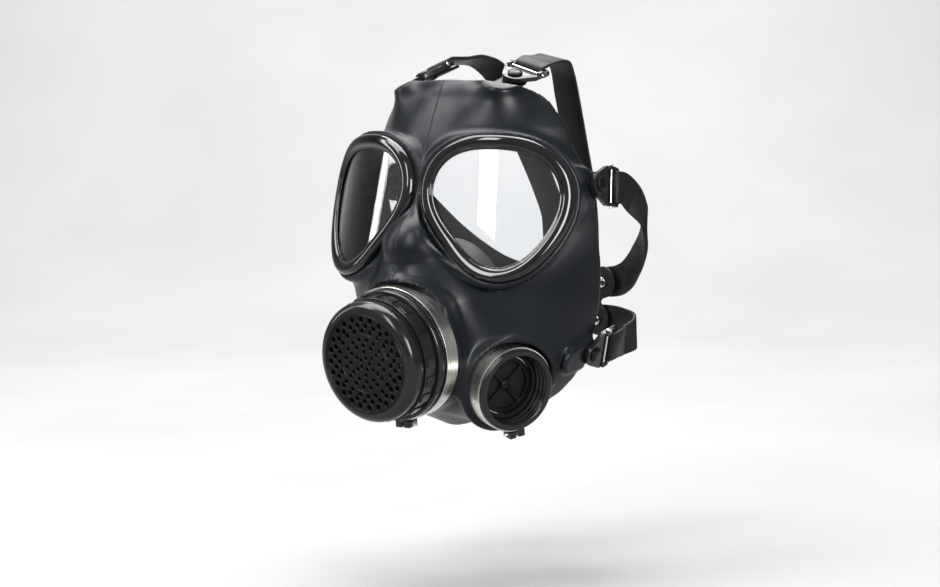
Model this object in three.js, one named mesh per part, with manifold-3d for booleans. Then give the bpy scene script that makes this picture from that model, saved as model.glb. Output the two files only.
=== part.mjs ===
// Full face respirator: rubber facepiece, two lenses in rims, front speech and exhalation unit,
// threaded filter inlet, inner nose cup and a six-strap head harness. Millimetres.
// The wearer's head centre is the origin, the face looks along -Y, +Z is up, +X is the wearer's left.
import * as THREE from 'three';
import { mergeVertices } from 'three/addons/utils/BufferGeometryUtils.js';
import Module from 'manifold-3d';

// ---- driving dimensions ---------------------------------------------------------------------
const GAP = 0.3;
const WALL = 2.8;
const LENS_CENTRE = [51.6, -105.6, 3.0];
const LENS_YAW = 21.9;
const LENS_LEAN = 12.2;
const LENS_BEND = 118;
const RIM_HEIGHT = 5.0;
const FRONT_CENTRE = [0, -129.6, -80.8];
const FRONT_AXIS = [0, -0.994, -0.109];
const SNOUT_R = 38.3;
const INLET_CENTRE = [59, -94, -103.5];
const INLET_AXIS = [0.934, -0.314, -0.172];
const NECK_R = 24.2;
const FRONT_BAND = [-5.9, 3.85];
const INLET_BAND = [-11.9, -2.3];
const THREAD_MAJOR_R = 20.4;
const THREAD_PITCH = 3.6;
const STRAP_WIDTH = 19;
const STRAP_THICK = 2.0;

// Half-width, depth and squareness of the face at each height; y0 is the middle of the section.
const BODY = [
  { z: -134, y0: -62, a: 4, b: 6, n: 2 },
  { z: -128, y0: -60, a: 16, b: 25, n: 2 },
  { z: -118, y0: -50, a: 46, b: 50, n: 2.1 },
  { z: -105, y0: -42, a: 62, b: 62, n: 2.2 },
  { z: -90, y0: -38, a: 72, b: 72, n: 2.3 },
  { z: -65, y0: -35, a: 77, b: 78, n: 2.6 },
  { z: -40, y0: -35, a: 78, b: 80, n: 2.8 },
  { z: -15, y0: -25, a: 79, b: 84, n: 2.5 },
  { z: 10, y0: -10, a: 81, b: 96, n: 2.2 },
  { z: 35, y0: 0, a: 83, b: 101, n: 2 },
  { z: 48, y0: 0, a: 82, b: 96, n: 2 },
  { z: 64, y0: 0, a: 74, b: 88, n: 2 },
  { z: 76, y0: 0, a: 60, b: 80, n: 2 },
  { z: 95, y0: 0, a: 25, b: 40, n: 2 },
  { z: 102, y0: 0, a: 4, b: 8, n: 2 },
];

// Nose ridge as a chain of tapered capsules: point and radius.
const NOSE = [
  { p: [0, -98, -4], r: 12 },
  { p: [0, -108, -22], r: 22 },
  { p: [0, -100, -45], r: 34 },
];

// Rear edge of the facepiece seen from the side: y and z, from the crown to the chin.
const EDGE = [
  [-130, 100], [-81, 76.5], [-61, 66], [-59.5, 55], [-58, 47], [-56, 38], [-54, 31.5], [-50, 27],
  [-47, 22], [-46, 3], [-44, -15], [-41, -27], [-37, -42], [-37, -54], [-38, -65], [-41, -74],
  [-44, -82], [-46, -96], [-48, -105], [-51, -111], [-60, -119], [-74, -126], [-100, -150],
];

// Buckle stations on the wearer's left: stud point, strap direction and outward normal.
const STATIONS = {
  top: { stud: [34, -58.5, 75.5], along: [0.0, 0.965, 0.26], out: [0.32, -0.25, 0.91], tail: 17 },
  temple: { stud: [80.5, -42, 13], along: [0.0, 0.98, -0.18], out: [1, 0.02, 0.08], tail: 11 },
  lower: { stud: [75, -43, -86], along: [0.05, 0.97, 0.24], out: [0.93, 0, -0.36], tail: 11 },
};

// Strap routes after the buckle: point and outward normal of the strap's face.
const ROUTES = {
  top: [
    { p: [33, -26, 86], n: [0.2, 0, 1] },
    { p: [30, -12, 86], n: [0.2, 0.3, 1] },
    { p: [26, 0, 79], n: [0.2, 0.8, 0.6] },
    { p: [23, 9, 62], n: [0.1, 1, 0.4] },
    { p: [19, 22, 34], n: [0.1, 1, 0.4] },
    { p: [15, 34, 6], n: [0, 1, 0.3] },
    { p: [12.4, 40, -12], n: [0, 1, 0.15] },
    { p: [12, 41, -24], n: [0, 1, 0] },
    { p: [12, 41, -42], n: [0, 1, 0] },
  ],
  temple: [
    { p: [85, -13, 4], n: [1, 0, 0] },
    { p: [84, 1, -8], n: [1, 0.5, 0] },
    { p: [75, 13, -24], n: [0.8, 0.8, 0] },
    { p: [62, 23, -38], n: [0.6, 0.8, 0] },
    { p: [49, 31.5, -48], n: [0.5, 0.9, 0] },
    { p: [39, 36, -52], n: [0.3, 1, 0] },
    { p: [30, 38.1, -53], n: [0.23, 1, 0] },
    { p: [25, 39.2, -53], n: [0.2, 1, 0] },
  ],
  lower: [
    { p: [78, -14, -81.5], n: [1, 0.1, -0.2] },
    { p: [76, 0, -79.5], n: [1, 0.4, 0] },
    { p: [66, 13, -77.5], n: [0.7, 0.8, 0] },
    { p: [51, 25, -77], n: [0.6, 0.9, 0] },
    { p: [38, 34.5, -77], n: [0.4, 0.9, 0] },
    { p: [24, 39.2, -77], n: [0.19, 1, 0] },
    { p: [19, 40.1, -77], n: [0.15, 1, 0] },
  ],
};

// ---- small vector helpers -------------------------------------------------------------------
const vec = (p) => new THREE.Vector3(p[0], p[1], p[2]);
const dot = (a, b) => a[0] * b[0] + a[1] * b[1] + a[2] * b[2];
const sub = (a, b) => [a[0] - b[0], a[1] - b[1], a[2] - b[2]];
const rad = (deg) => (deg * Math.PI) / 180;

// A frame with its Z along `axis` and its Y as near `up` as it can be.
function basis(origin, axis, up = [0, 0, 1]) {
  const z = vec(axis).normalize();
  const x = vec(up).cross(z).normalize();
  const y = z.clone().cross(x);
  return new THREE.Matrix4().makeBasis(x, y, z).setPosition(vec(origin));
}

// The lens frame: x along the lens, y up it, z out of it.
const LENS_FRAME = (() => {
  const w = [
    Math.sin(rad(LENS_YAW)) * Math.cos(rad(LENS_LEAN)),
    -Math.cos(rad(LENS_YAW)) * Math.cos(rad(LENS_LEAN)),
    Math.sin(rad(LENS_LEAN)),
  ];
  return basis(LENS_CENTRE, w);
})();
const FRONT_FRAME = basis(FRONT_CENTRE, FRONT_AXIS);
const INLET_FRAME = basis(INLET_CENTRE, INLET_AXIS);
const LENS_INVERSE = LENS_FRAME.clone().invert();
const FRONT_INVERSE = FRONT_FRAME.clone().invert();
const INLET_INVERSE = INLET_FRAME.clone().invert();

// ---- the outline of a lens rim --------------------------------------------------------------
function rimRadius(t) {
  return 43.9 + 0.9 * Math.cos(t) + 2.9 * Math.sin(t)
    + 1.3 * Math.cos(2 * t) - 1.8 * Math.sin(2 * t)
    - 0.25 * Math.cos(3 * t) + 2.95 * Math.sin(3 * t);
}
const lensBow = (u) => -(u * u) / (2 * LENS_BEND);

// ---- the face as one smooth field: negative inside, close to a distance ----------------------
function blendMin(a, b, k) {
  const h = Math.max(k - Math.abs(a - b), 0) / k;
  return Math.min(a, b) - h * h * k * 0.25;
}
const blendMax = (a, b, k) => -blendMin(-a, -b, k);

function hermite(rows, key, i, t) {
  const at = (j) => rows[Math.min(Math.max(j, 0), rows.length - 1)];
  const h = rows[i + 1].z - rows[i].z;
  const slope = (j) => (at(j + 1)[key] - at(j - 1)[key]) / (at(j + 1).z - at(j - 1).z);
  const t2 = t * t;
  const t3 = t2 * t;
  return (2 * t3 - 3 * t2 + 1) * rows[i][key] + (t3 - 2 * t2 + t) * h * slope(i)
    + (3 * t2 - 2 * t3) * rows[i + 1][key] + (t3 - t2) * h * slope(i + 1);
}

function bodyField(p) {
  const last = BODY.length - 1;
  if (p[2] <= BODY[0].z) return BODY[0].z - p[2] + 3;
  if (p[2] >= BODY[last].z) return p[2] - BODY[last].z + 3;
  let i = 0;
  while (BODY[i + 1].z < p[2]) i += 1;
  const t = (p[2] - BODY[i].z) / (BODY[i + 1].z - BODY[i].z);
  const [y0, a, b, n] = ['y0', 'a', 'b', 'n'].map((key) => hermite(BODY, key, i, t));
  const x = Math.abs(p[0]);
  const y = Math.abs(p[1] - y0);
  const s = (((x / a) ** n) + ((y / b) ** n)) ** (1 / n);
  if (s < 0.02) return -Math.min(a, b);
  return Math.hypot(x, y) * (1 - 1 / s);
}

function eyeField(p) {
  const q = vec([Math.abs(p[0]), p[1], p[2]]).applyMatrix4(LENS_INVERSE);
  const side = (Math.hypot(q.x, q.y) - rimRadius(Math.atan2(q.y, q.x)) - 1.2) * 0.95;
  const front = q.z - lensBow(q.x) + RIM_HEIGHT + 1.4;
  return Math.max(blendMax(side, front, 2.5), -q.z - 48);
}

function noseField(p) {
  let best = 1e9;
  for (let i = 0; i + 1 < NOSE.length; i += 1) {
    const a = NOSE[i];
    const b = NOSE[i + 1];
    const ab = sub(b.p, a.p);
    const t = Math.min(Math.max(dot(sub(p, a.p), ab) / dot(ab, ab), 0), 1);
    const c = [a.p[0] + ab[0] * t, a.p[1] + ab[1] * t, a.p[2] + ab[2] * t];
    const d = Math.hypot(...sub(p, c)) - (a.r + (b.r - a.r) * t);
    best = Math.min(best, d);
  }
  return best;
}

function tubeField(p, inverse, radius, low, high) {
  const q = vec(p).applyMatrix4(inverse);
  return Math.max(blendMax(Math.hypot(q.x, q.y) - radius, q.z - high, 1), low - q.z);
}

function faceField(p) {
  let d = bodyField(p);
  d = blendMin(d, noseField(p), 14);
  d = blendMin(d, eyeField(p), 8);
  d = blendMin(d, tubeField(p, FRONT_INVERSE, SNOUT_R - 0.4, -75, -7), 16);
  return blendMin(d, tubeField(p, INLET_INVERSE, NECK_R + 1.8, -34, -12), 9);
}

// ---- shapes and booleans ----------------------------------------------------------------------
const wasm = await Module();
wasm.setup();

function toManifold(geometry) {
  const bare = new THREE.BufferGeometry();
  bare.setAttribute('position', geometry.getAttribute('position'));
  bare.setIndex(geometry.getIndex());
  const merged = mergeVertices(bare, 1e-4);
  const index = merged.getIndex().array;
  const tris = [];
  for (let i = 0; i < index.length; i += 3) {
    const [a, b, c] = [index[i], index[i + 1], index[i + 2]];
    if (a !== b && b !== c && c !== a) tris.push(a, b, c);
  }
  return new wasm.Manifold(new wasm.Mesh({
    numProp: 3,
    vertProperties: new Float32Array(merged.getAttribute('position').array),
    triVerts: new Uint32Array(tris),
  }));
}

function toGeometry(solid) {
  const data = solid.getMesh();
  const geometry = new THREE.BufferGeometry();
  geometry.setAttribute('position', new THREE.BufferAttribute(new Float32Array(data.vertProperties), 3));
  geometry.setIndex(new THREE.BufferAttribute(new Uint32Array(data.triVerts), 1));
  return geometry;
}

function join(first, ...others) {
  return toGeometry(others.reduce((sum, g) => sum.add(toManifold(g)), toManifold(first)));
}
function cut(first, ...others) {
  return toGeometry(others.reduce((left, g) => left.subtract(toManifold(g)), toManifold(first)));
}
function common(first, second) {
  return toGeometry(toManifold(first).intersect(toManifold(second)));
}

// The biggest closed piece of a solid, with loose crumbs dropped.
function largest(geometry) {
  const pieces = toManifold(geometry).decompose();
  return toGeometry(pieces.sort((p, q) => q.volume() - p.volume())[0]);
}

function turnFaces(geometry) {
  const index = Array.from(geometry.getIndex().array);
  for (let i = 0; i < index.length; i += 3) [index[i + 1], index[i + 2]] = [index[i + 2], index[i + 1]];
  geometry.setIndex(index);
  return geometry;
}

function signedVolume(geometry) {
  const position = geometry.getAttribute('position');
  const index = geometry.getIndex().array;
  const at = (i) => new THREE.Vector3().fromBufferAttribute(position, index[i]);
  let v = 0;
  for (let i = 0; i < index.length; i += 3) v += at(i).dot(at(i + 1).cross(at(i + 2)));
  return v;
}

function indexed(geometry) {
  const bare = new THREE.BufferGeometry();
  bare.setAttribute('position', geometry.getAttribute('position'));
  if (geometry.getIndex()) bare.setIndex(geometry.getIndex());
  const merged = mergeVertices(bare, 1e-5);
  return signedVolume(merged) < 0 ? turnFaces(merged) : merged;
}

// Rings of equal length joined in order; closed along the rings, and end to end if `loop` is set.
function loft(rings, loop = false) {
  const m = rings[0].length;
  const index = [];
  const count = loop ? rings.length : rings.length - 1;
  for (let i = 0; i < count; i += 1) {
    const j = (i + 1) % rings.length;
    for (let k = 0; k < m; k += 1) {
      const l = (k + 1) % m;
      index.push(i * m + k, i * m + l, j * m + l, i * m + k, j * m + l, j * m + k);
    }
  }
  if (!loop) {
    const end = (rings.length - 1) * m;
    for (let k = 1; k + 1 < m; k += 1) index.push(0, k + 1, k, end, end + k, end + k + 1);
  }
  const geometry = new THREE.BufferGeometry();
  geometry.setAttribute('position', new THREE.Float32BufferAttribute(rings.flat(2), 3));
  geometry.setIndex(index);
  return indexed(geometry);
}

// A closed profile of [radius, height] points turned about Z.
function turned(profile, segments = 36) {
  const points = [...profile, profile[0]].map(([r, z]) => new THREE.Vector2(r, z));
  return indexed(new THREE.LatheGeometry(points, segments).rotateX(Math.PI / 2));
}

function cylinder(r, low, high, segments = 24) {
  return turned([[0, low], [r, low], [r, high], [0, high]], segments);
}

// A flat outline of [x, y] points pulled from z = low to z = high.
function prism(outline, low, high) {
  const shape = new THREE.Shape(outline.map(([x, y]) => new THREE.Vector2(x, y)));
  const solid = new THREE.ExtrudeGeometry(shape, { depth: high - low, bevelEnabled: false });
  return indexed(solid.translate(0, 0, low));
}

function box(x0, x1, y0, y1, z0, z1) {
  const solid = new THREE.BoxGeometry(x1 - x0, y1 - y0, z1 - z0);
  return indexed(solid.translate((x0 + x1) / 2, (y0 + y1) / 2, (z0 + z1) / 2));
}

function place(geometry, matrix) {
  const moved = geometry.clone().applyMatrix4(matrix);
  return matrix.determinant() < 0 ? turnFaces(moved) : moved;
}
const MIRROR = new THREE.Matrix4().makeScale(-1, 1, 1);
const bothSides = (geometry) => [geometry, place(geometry, MIRROR)];
const spin = (geometry, degrees) => geometry.clone().rotateZ(rad(degrees));

// ---- pieces ---------------------------------------------------------------------------------
// Distance from the shell's centre to the field's `level` surface along a direction.
const SHELL_CENTRE = [0, -35, -25];
function cast(dir, level) {
  let low = 5;
  let high = 200;
  const at = (s) => SHELL_CENTRE.map((c, i) => c + dir[i] * s);
  // The outermost crossing is the skin, so the search walks inwards.
  let s = 190;
  while (s > 5 && faceField(at(s)) > level) {
    high = s;
    s -= 3;
  }
  low = s;
  for (let i = 0; i < 22; i += 1) {
    const mid = (low + high) / 2;
    if (faceField(at(mid)) > level) high = mid;
    else low = mid;
  }
  return at((low + high) / 2);
}

function facepiece() {
  const around = 34;
  const alphas = [14, 24, 32, 40, 48, 56, 64, 72, 80, 88, 97, 112];
  const pole = vec(sub(FRONT_CENTRE, SHELL_CENTRE)).normalize();
  const side = new THREE.Vector3(1, 0, 0);
  const up = side.clone().cross(pole).negate();
  const skin = (level) => alphas.map((alpha) => {
    const ring = [];
    for (let k = 0; k < around; k += 1) {
      const t = (2 * Math.PI * k) / around;
      const d = pole.clone().multiplyScalar(Math.cos(rad(alpha)));
      d.addScaledVector(side, Math.sin(rad(alpha)) * Math.cos(t));
      d.addScaledVector(up, Math.sin(rad(alpha)) * Math.sin(t));
      ring.push(cast([d.x, d.y, d.z], level));
    }
    return ring;
  });
  const outer = skin(0);
  const inner = skin(-WALL).reverse();
  let shell = loft([...outer, ...inner], true);
  // Where the face rises past a clamp band, a wall closes the well cut round the band.
  const face = loft(outer);
  const frontWell = turned([[38, -14], [44.2, -14], [44.2, 12], [38, 12]], 30);
  const inletWell = turned([[24.6, -18.5], [30, -18.5], [30, 6], [24.6, 6]], 24);
  const wells = join(place(frontWell, FRONT_FRAME), place(inletWell, INLET_FRAME));
  shell = join(shell, common(face, wells));

  const keep = place(prism([...EDGE, [-240, -150], [-240, 100]], -120, 120),
    new THREE.Matrix4().makeBasis(vec([0, 1, 0]), vec([0, 0, 1]), vec([1, 0, 0])));
  shell = common(shell, keep);

  const frontBore = place(cylinder(36.2, -18, 30, 30), FRONT_FRAME);
  const frontClear = place(cylinder(41.5, -6.7, 30, 30), FRONT_FRAME);
  shell = cut(shell, frontBore, frontClear);
  const inletBore = place(cylinder(24.0, -26, -9, 24), INLET_FRAME);
  const inletClear = place(cylinder(27.2, -13.2, 12, 24), INLET_FRAME);
  shell = cut(shell, inletBore, inletClear);
  const snoutSleeve = turned([[35.6, -19], [37.4, -19], [39.6, -10.5], [39.6, -7.3], [SNOUT_R, -6.6],
    [SNOUT_R, 4.6], [35.6, 4.6]], 30);
  const neckSleeve = turned([[22.7, -21], [24.4, -21], [29.2, -19.5], [29.2, -14], [NECK_R, -13.2],
    [NECK_R, -2.3], [22.7, -2.3]], 24);
  shell = join(shell, place(snoutSleeve, FRONT_FRAME), place(neckSleeve, INLET_FRAME));

  const tabs = [];
  for (const station of Object.values(STATIONS)) {
    tabs.push(...bothSides(place(tab(station.tail), stationFrame(station))));
  }
  shell = join(shell, ...tabs);

  const window = place(prism(rimOutline(-2.6, 22), -22, 20), LENS_FRAME);
  const seatColumn = prism(rimOutline(2.4, 22), -30, 30);
  const seat = place(common(bowedSlab(-RIM_HEIGHT - 0.45, 20), seatColumn), LENS_FRAME);
  // The rubber seat behind the rim is wider beside the nose, where the flank of the nose meets it.
  const frameRing = rimSweep((t) => {
    const edge = 0.4 - 4.6 * Math.max(0, Math.cos(t - rad(200))) ** 0.7;
    return [[edge, -9], [edge, -5.7], [7, -5.7], [7, -9]];
  }, 24);
  shell = join(cut(shell, ...bothSides(window), ...bothSides(seat)), ...bothSides(frameRing));
  for (const station of Object.values(STATIONS)) {
    const clear = join(studHole(), cylinder(5.2, -9, -3.3, 10), box(-9, 26, -22, 22, 0.08, 10));
    shell = cut(shell, ...bothSides(place(clear, stationFrame(station))));
  }
  return largest(shell);
}

// Buckle frame: x along the strap, y across it, z away from the head, origin at the stud.
function stationFrame({ stud, along, out }) {
  const x = vec(along).normalize();
  const y = vec(out).cross(x).normalize();
  const z = x.clone().cross(y);
  return new THREE.Matrix4().makeBasis(x, y, z).setPosition(vec(stud));
}

function tongue(radius, tail, wide, steps = 6) {
  const outline = [];
  for (let i = 0; i <= steps; i += 1) {
    const t = rad(-80 + (160 * i) / steps);
    outline.push([radius * Math.cos(t), radius * Math.sin(t)]);
  }
  outline.push([tail, wide], [tail, -wide]);
  return outline;
}
const tab = (tail) => prism(tongue(8.5, -tail, 8.5), -3.2, 0);
const studHole = () => cylinder(3.0, -9, 6, 10);

function stud() {
  return turned([[0, -5.0], [4.4, -5.0], [4.4, -3.5], [2.6, -3.5], [2.6, 3.3], [4.4, 3.3],
    [3.6, 4.8], [0, 5.1]], 8);
}

function buckle() {
  const outline = [[18, -10.5], [18, 10.5], [16.5, 11.7], [5.5, 11.7]];
  for (let i = 0; i <= 5; i += 1) {
    const t = rad(110 + (140 * i) / 5);
    outline.push([7.2 * Math.cos(t), 7.2 * Math.sin(t)]);
  }
  outline.push([5.5, -11.7], [16.5, -11.7]);
  const plate = cut(prism(outline, GAP, 3.0), box(6.8, 15.5, -9.9, 9.9, -1, 5));
  const ears = [box(8.2, 12.8, -11.7, -10.0, 1, 4.4), box(8.2, 12.8, 10.0, 11.7, 1, 4.4)];
  return cut(join(plate, ...ears), studHole(), place(cylinder(1.5, -14, 14, 6), pinFrame()));
}
const pinFrame = () => new THREE.Matrix4().makeBasis(vec([0, 0, 1]), vec([1, 0, 0]), vec([0, 1, 0]))
  .setPosition(vec([10.5, 0, 2.6]));

// A roller pin with a small head at one end.
function pin() {
  return turned([[0, -13.2], [1.0, -13.2], [1.0, 12.4], [1.6, 12.4], [1.6, 13.2], [0, 13.2]], 6);
}

function strapStations(name) {
  const m = stationFrame(STATIONS[name]);
  const z = new THREE.Vector3().setFromMatrixColumn(m, 2);
  const x = new THREE.Vector3().setFromMatrixColumn(m, 0);
  // Tail, wrap round the end bar, then over it: x and z in the buckle's frame, and the turn of the face.
  const wrap = [[25, -1.2, 180], [15.9, -1.0, 180], [14.5, -0.3, 225], [14.1, 1.2, 270],
    [14.1, 2.5, 270], [14.6, 3.9, 315], [15.9, 4.4, 360], [21, 4.6, 360]];
  const list = wrap.map(([a, c, turn]) => ({
    p: vec([a, 0, c]).applyMatrix4(m),
    n: z.clone().multiplyScalar(Math.cos(rad(turn))).addScaledVector(x, Math.sin(rad(turn))),
  }));
  const route = ROUTES[name].map(({ p, n }) => ({ p: vec(p), n: vec(n).normalize() }));
  const start = list[list.length - 1];
  const curve = new THREE.CatmullRomCurve3([start.p, ...route.map((r) => r.p)], false, 'centripetal');
  const normals = [start.n, ...route.map((r) => r.n)];
  const steps = Math.round(route.length * 1.35);
  for (let i = 1; i <= steps; i += 1) {
    const t = i / steps;
    const k = Math.min(Math.floor(t * route.length), route.length - 1);
    const f = t * route.length - k;
    list.push({ p: curve.getPoint(t), n: normals[k].clone().lerp(normals[k + 1], f).normalize() });
  }
  return list;
}

function strap(name) {
  const list = strapStations(name);
  const rings = list.map(({ p, n }, i) => {
    const a = list[Math.max(i - 1, 0)].p;
    const b = list[Math.min(i + 1, list.length - 1)].p;
    const tangent = b.clone().sub(a).normalize();
    const across = n.clone().cross(tangent).normalize();
    const face = tangent.clone().cross(across);
    const h = STRAP_THICK / 2;
    const w = STRAP_WIDTH / 2;
    return [[-w, -h], [w, -h], [w, h], [-w, h]].map(([s, c]) => {
      const q = p.clone().addScaledVector(across, s).addScaledVector(face, c);
      return [q.x, q.y, q.z];
    });
  });
  return loft(rings);
}

// Head pad: a thin curved plate with six arms; x and z of each arm's end.
const PAD_ARMS = [[12, -37], [30, -53], [24, -77]];
const PAD_CENTRE_Z = -60;
const PAD_ARM_R = 10;
const padY = (x) => 37.8 - (x * x) / 260;
function headPad() {
  const bar = (x0, z0, x1, z1, r) => {
    const t = Math.atan2(z1 - z0, x1 - x0);
    const outline = [];
    for (let i = 0; i <= 5; i += 1) {
      const a = t - Math.PI / 2 + (Math.PI * i) / 5;
      outline.push([x1 + r * Math.cos(a), z1 + r * Math.sin(a)]);
    }
    for (let i = 0; i <= 1; i += 1) {
      const a = t + Math.PI / 2 + Math.PI * i;
      outline.push([x0 + r * Math.cos(a), z0 + r * Math.sin(a)]);
    }
    return prism(outline, -1.2, 1.2);
  };
  const arm = (x, z) => bar(0, PAD_CENTRE_Z, x, z, PAD_ARM_R);
  const arms = PAD_ARMS.flatMap(([x, z]) => [arm(x, z), arm(-x, z)]);
  const flat = join(...arms);
  const position = flat.getAttribute('position');
  for (let i = 0; i < position.count; i += 1) {
    const x = position.getX(i);
    position.setXYZ(i, x, padY(x) - position.getZ(i), position.getY(i));
  }
  return indexed(flat);
}

function rivet(x, z) {
  const y = padY(x);
  const frame = basis([x, y, z], [0, 1, 0]);
  return place(turned([[0, -3.2], [3, -3.2], [1.2, -2.2], [1.2, 5.5], [3, 5.5], [0, 6.7]], 6), frame);
}
const rivetHole = (x, z) => place(cylinder(1.7, -5, 9, 6), basis([x, padY(x), z], [0, 1, 0]));

// A closed section of [inset from the rim's edge, height above its crest line] swept round the rim;
// a section that changes on the way round is a function of the angle.
function rimSweep(section, segments) {
  const rings = [];
  for (let k = 0; k < segments; k += 1) {
    const t = (2 * Math.PI * k) / segments;
    const step = 0.01;
    const at = (a) => [rimRadius(a) * Math.cos(a), rimRadius(a) * Math.sin(a)];
    const [x0, y0] = at(t);
    const [x1, y1] = at(t + step);
    const len = Math.hypot(x1 - x0, y1 - y0);
    const nx = (y1 - y0) / len;
    const ny = -(x1 - x0) / len;
    const points = typeof section === 'function' ? section(t) : section;
    rings.push(points.map(([inset, h]) => {
      const u = x0 - nx * inset;
      const v = y0 - ny * inset;
      return [u, v, h + lensBow(u)];
    }));
  }
  return place(loft(rings, true), LENS_FRAME);
}

function lensRim() {
  return rimSweep([[0.3, -5], [0, -2.3], [2.6, 0], [5.0, -0.9], [8.5, -2.1], [8.5, -2.6], [3.7, -2.6],
    [3.7, -5]], 32);
}

function rimOutline(offset, segments) {
  const outline = [];
  for (let k = 0; k < segments; k += 1) {
    const t = (2 * Math.PI * k) / segments;
    const r = rimRadius(t) + offset;
    outline.push([r * Math.cos(t), r * Math.sin(t)]);
  }
  return outline;
}

// A slab that bows with the lens, from `low` to `high` above the crest surface.
function bowedSlab(low, high) {
  const rings = [];
  for (let i = 0; i <= 8; i += 1) {
    const u = -54 + 13.5 * i;
    const w = lensBow(u);
    rings.push([[u, -60, w + low], [u, 60, w + low], [u, 60, w + high], [u, -60, w + high]]);
  }
  return loft(rings);
}

const lens = () => place(common(bowedSlab(-5.2, -3.2), prism(rimOutline(-4.6, 28), -30, 5)), LENS_FRAME);

// Front unit, in its own frame: z = 0 at the middle of the clamp band.
function frontHousing() {
  const body = turned([[17.4, 14], [17.4, 10], [15.5, 10], [15.5, -2], [32.6, -2], [32.6, -14],
    [35.2, -14], [35.2, 5], [38.4, 5.4], [38.6, 8.8], [37.8, 9.5], [32.4, 9.5], [32.4, 16],
    [30.2, 16], [30.2, 1], [19.2, 1], [19.2, 14]], 24);
  const windows = [];
  for (let i = 0; i < 6; i += 1) {
    const outline = [];
    for (let k = 0; k <= 2; k += 1) {
      const t = rad(60 * i + 6 + 24 * k);
      outline.push([27.8 * Math.cos(t), 27.8 * Math.sin(t)]);
    }
    for (let k = 2; k >= 0; k -= 1) {
      const t = rad(60 * i + 6 + 24 * k);
      outline.push([20.8 * Math.cos(t), 20.8 * Math.sin(t)]);
    }
    windows.push(prism(outline, -4, 4));
  }
  return cut(body, ...windows);
}

function perforatedCover() {
  const shell = turned([[34.5, 11.5], [34.5, 19.8], [35.5, 20.3], [35.5, 24.5], [34.6, 27.4], [32.4, 29.6],
    [29.6, 30.4], [0, 30.4], [0, 28], [28, 28], [32.7, 24.5], [32.7, 11.5]], 30);
  const holes = [];
  const ring = (count, radius, size, phase) => {
    for (let i = 0; i < count; i += 1) {
      const t = (2 * Math.PI * (i + phase)) / count;
      holes.push(cylinder(size, 27, 32, 5).translate(radius * Math.cos(t), radius * Math.sin(t), 0));
    }
  };
  ring(24, 26, 1.4, 0);
  ring(24, 22.6, 1.3, 0.5);
  ring(20, 19.2, 1.2, 0);
  ring(16, 14.2, 1.05, 0.5);
  ring(12, 10.6, 1.05, 0);
  ring(6, 6.8, 1.05, 0.5);
  ring(5, 3.4, 1.05, 0);
  return cut(shell, ...holes);
}

function castellatedRing() {
  const ring = turned([[34.8, 10], [36.2, 10], [36.2, 19.5], [34.8, 19.5]], 24);
  const pads = [];
  for (let i = 0; i < 20; i += 1) pads.push(spin(box(35.6, 37.0, -2.9, 2.9, 11.6, 18.2), 18 * i));
  return join(ring, ...pads);
}

// A clamp band with its tightening block and screw; `turn` points the block about the axis.
function clampBand(radius, low, high) {
  return turned([[radius, low], [radius + 0.8, low], [radius + 0.8, high], [radius, high]], 36);
}
function clampBlock(radius, low, high, turn) {
  const r = radius + 0.8 + GAP;
  const mid = (low + high) / 2;
  const ears = cut(box(r + 0.5, r + 5.5, -5, 5, low + 0.6, high - 0.6),
    box(r - 1, r + 7, -1, 1, low - 1, high + 1));
  const bridge = box(r + 0.5, r + 1.6, -3, 3, low + 0.6, high - 0.6);
  const bore = place(cylinder(1.3, -9, 9, 10), crossFrame(r + 3.4, mid));
  return spin(cut(join(ears, bridge), bore), turn);
}
function clampScrew(radius, low, high, turn) {
  const r = radius + 0.8 + GAP + 3.4;
  const shank = turned([[0, -7], [1, -7], [1, 5.4], [2.3, 5.4], [2.3, 7], [0, 7.2]], 10);
  return spin(place(shank, crossFrame(r, (low + high) / 2)), turn);
}
const crossFrame = (x, z) => new THREE.Matrix4()
  .makeBasis(vec([0, 0, 1]), vec([1, 0, 0]), vec([0, 1, 0])).setPosition(vec([x, 0, z]));

function inletSocket() {
  const profile = [[24.4, -2], [24.4, -0.8], [23.6, 0], [21.2, 0], [THREAD_MAJOR_R, -0.8]];
  for (let i = 0; i < 3; i += 1) {
    const z = -1.4 - THREAD_PITCH * i;
    profile.push([20.4, z], [21.3, z - 0.8], [21.3, z - 1.8], [20.4, z - 2.6]);
  }
  profile.push([20.4, -12.4], [17.4, -12.4], [17.4, -18], [22.3, -18], [22.3, -2]);
  return turned(profile.reverse(), 22);
}

function inletSeat() {
  const rim = turned([[14.6, -14.8], [17.1, -14.8], [17.1, -12.8], [14.6, -12.8]], 24);
  const hub = turned([[0, -19.6], [2.4, -19.6], [2.4, -18.7], [1.4, -18.7], [1.4, -14.8], [3.2, -14.8],
    [3.2, -12.2], [0, -11.6]], 12);
  const spokes = [];
  for (let i = 0; i < 4; i += 1) spokes.push(spin(box(2, 15.5, -1.1, 1.1, -14.6, -13), 45 + 90 * i));
  return join(rim, hub, ...spokes);
}

// Nose cup: an open rubber funnel from the front unit's collar to the face.
const CUP = [
  { s: -16, a: 25, b: 25, drop: 0 },
  { s: -23, a: 26, b: 26, drop: 0 },
  { s: -33, a: 32, b: 34, drop: 2 },
  { s: -45, a: 37, b: 43, drop: 6 },
  { s: -60, a: 37, b: 47, drop: 9 },
  { s: -68, a: 30, b: 43, drop: 9 },
];
function noseCup() {
  const around = 22;
  const skin = (inset, rows) => rows.map(({ s, a, b, drop }) => {
    const ring = [];
    for (let k = 0; k < around; k += 1) {
      const t = (2 * Math.PI * k) / around;
      ring.push([(a - inset) * Math.cos(t), (b - inset) * Math.sin(t) + drop, s]);
    }
    return ring;
  });
  const funnel = loft([...skin(0, CUP), ...skin(2, CUP).reverse()], true);
  return cut(funnel, ...[1, -1].map((side) => place(cylinder(7.6, -8, 8, 16), cupValveFrame(side))));
}
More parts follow.
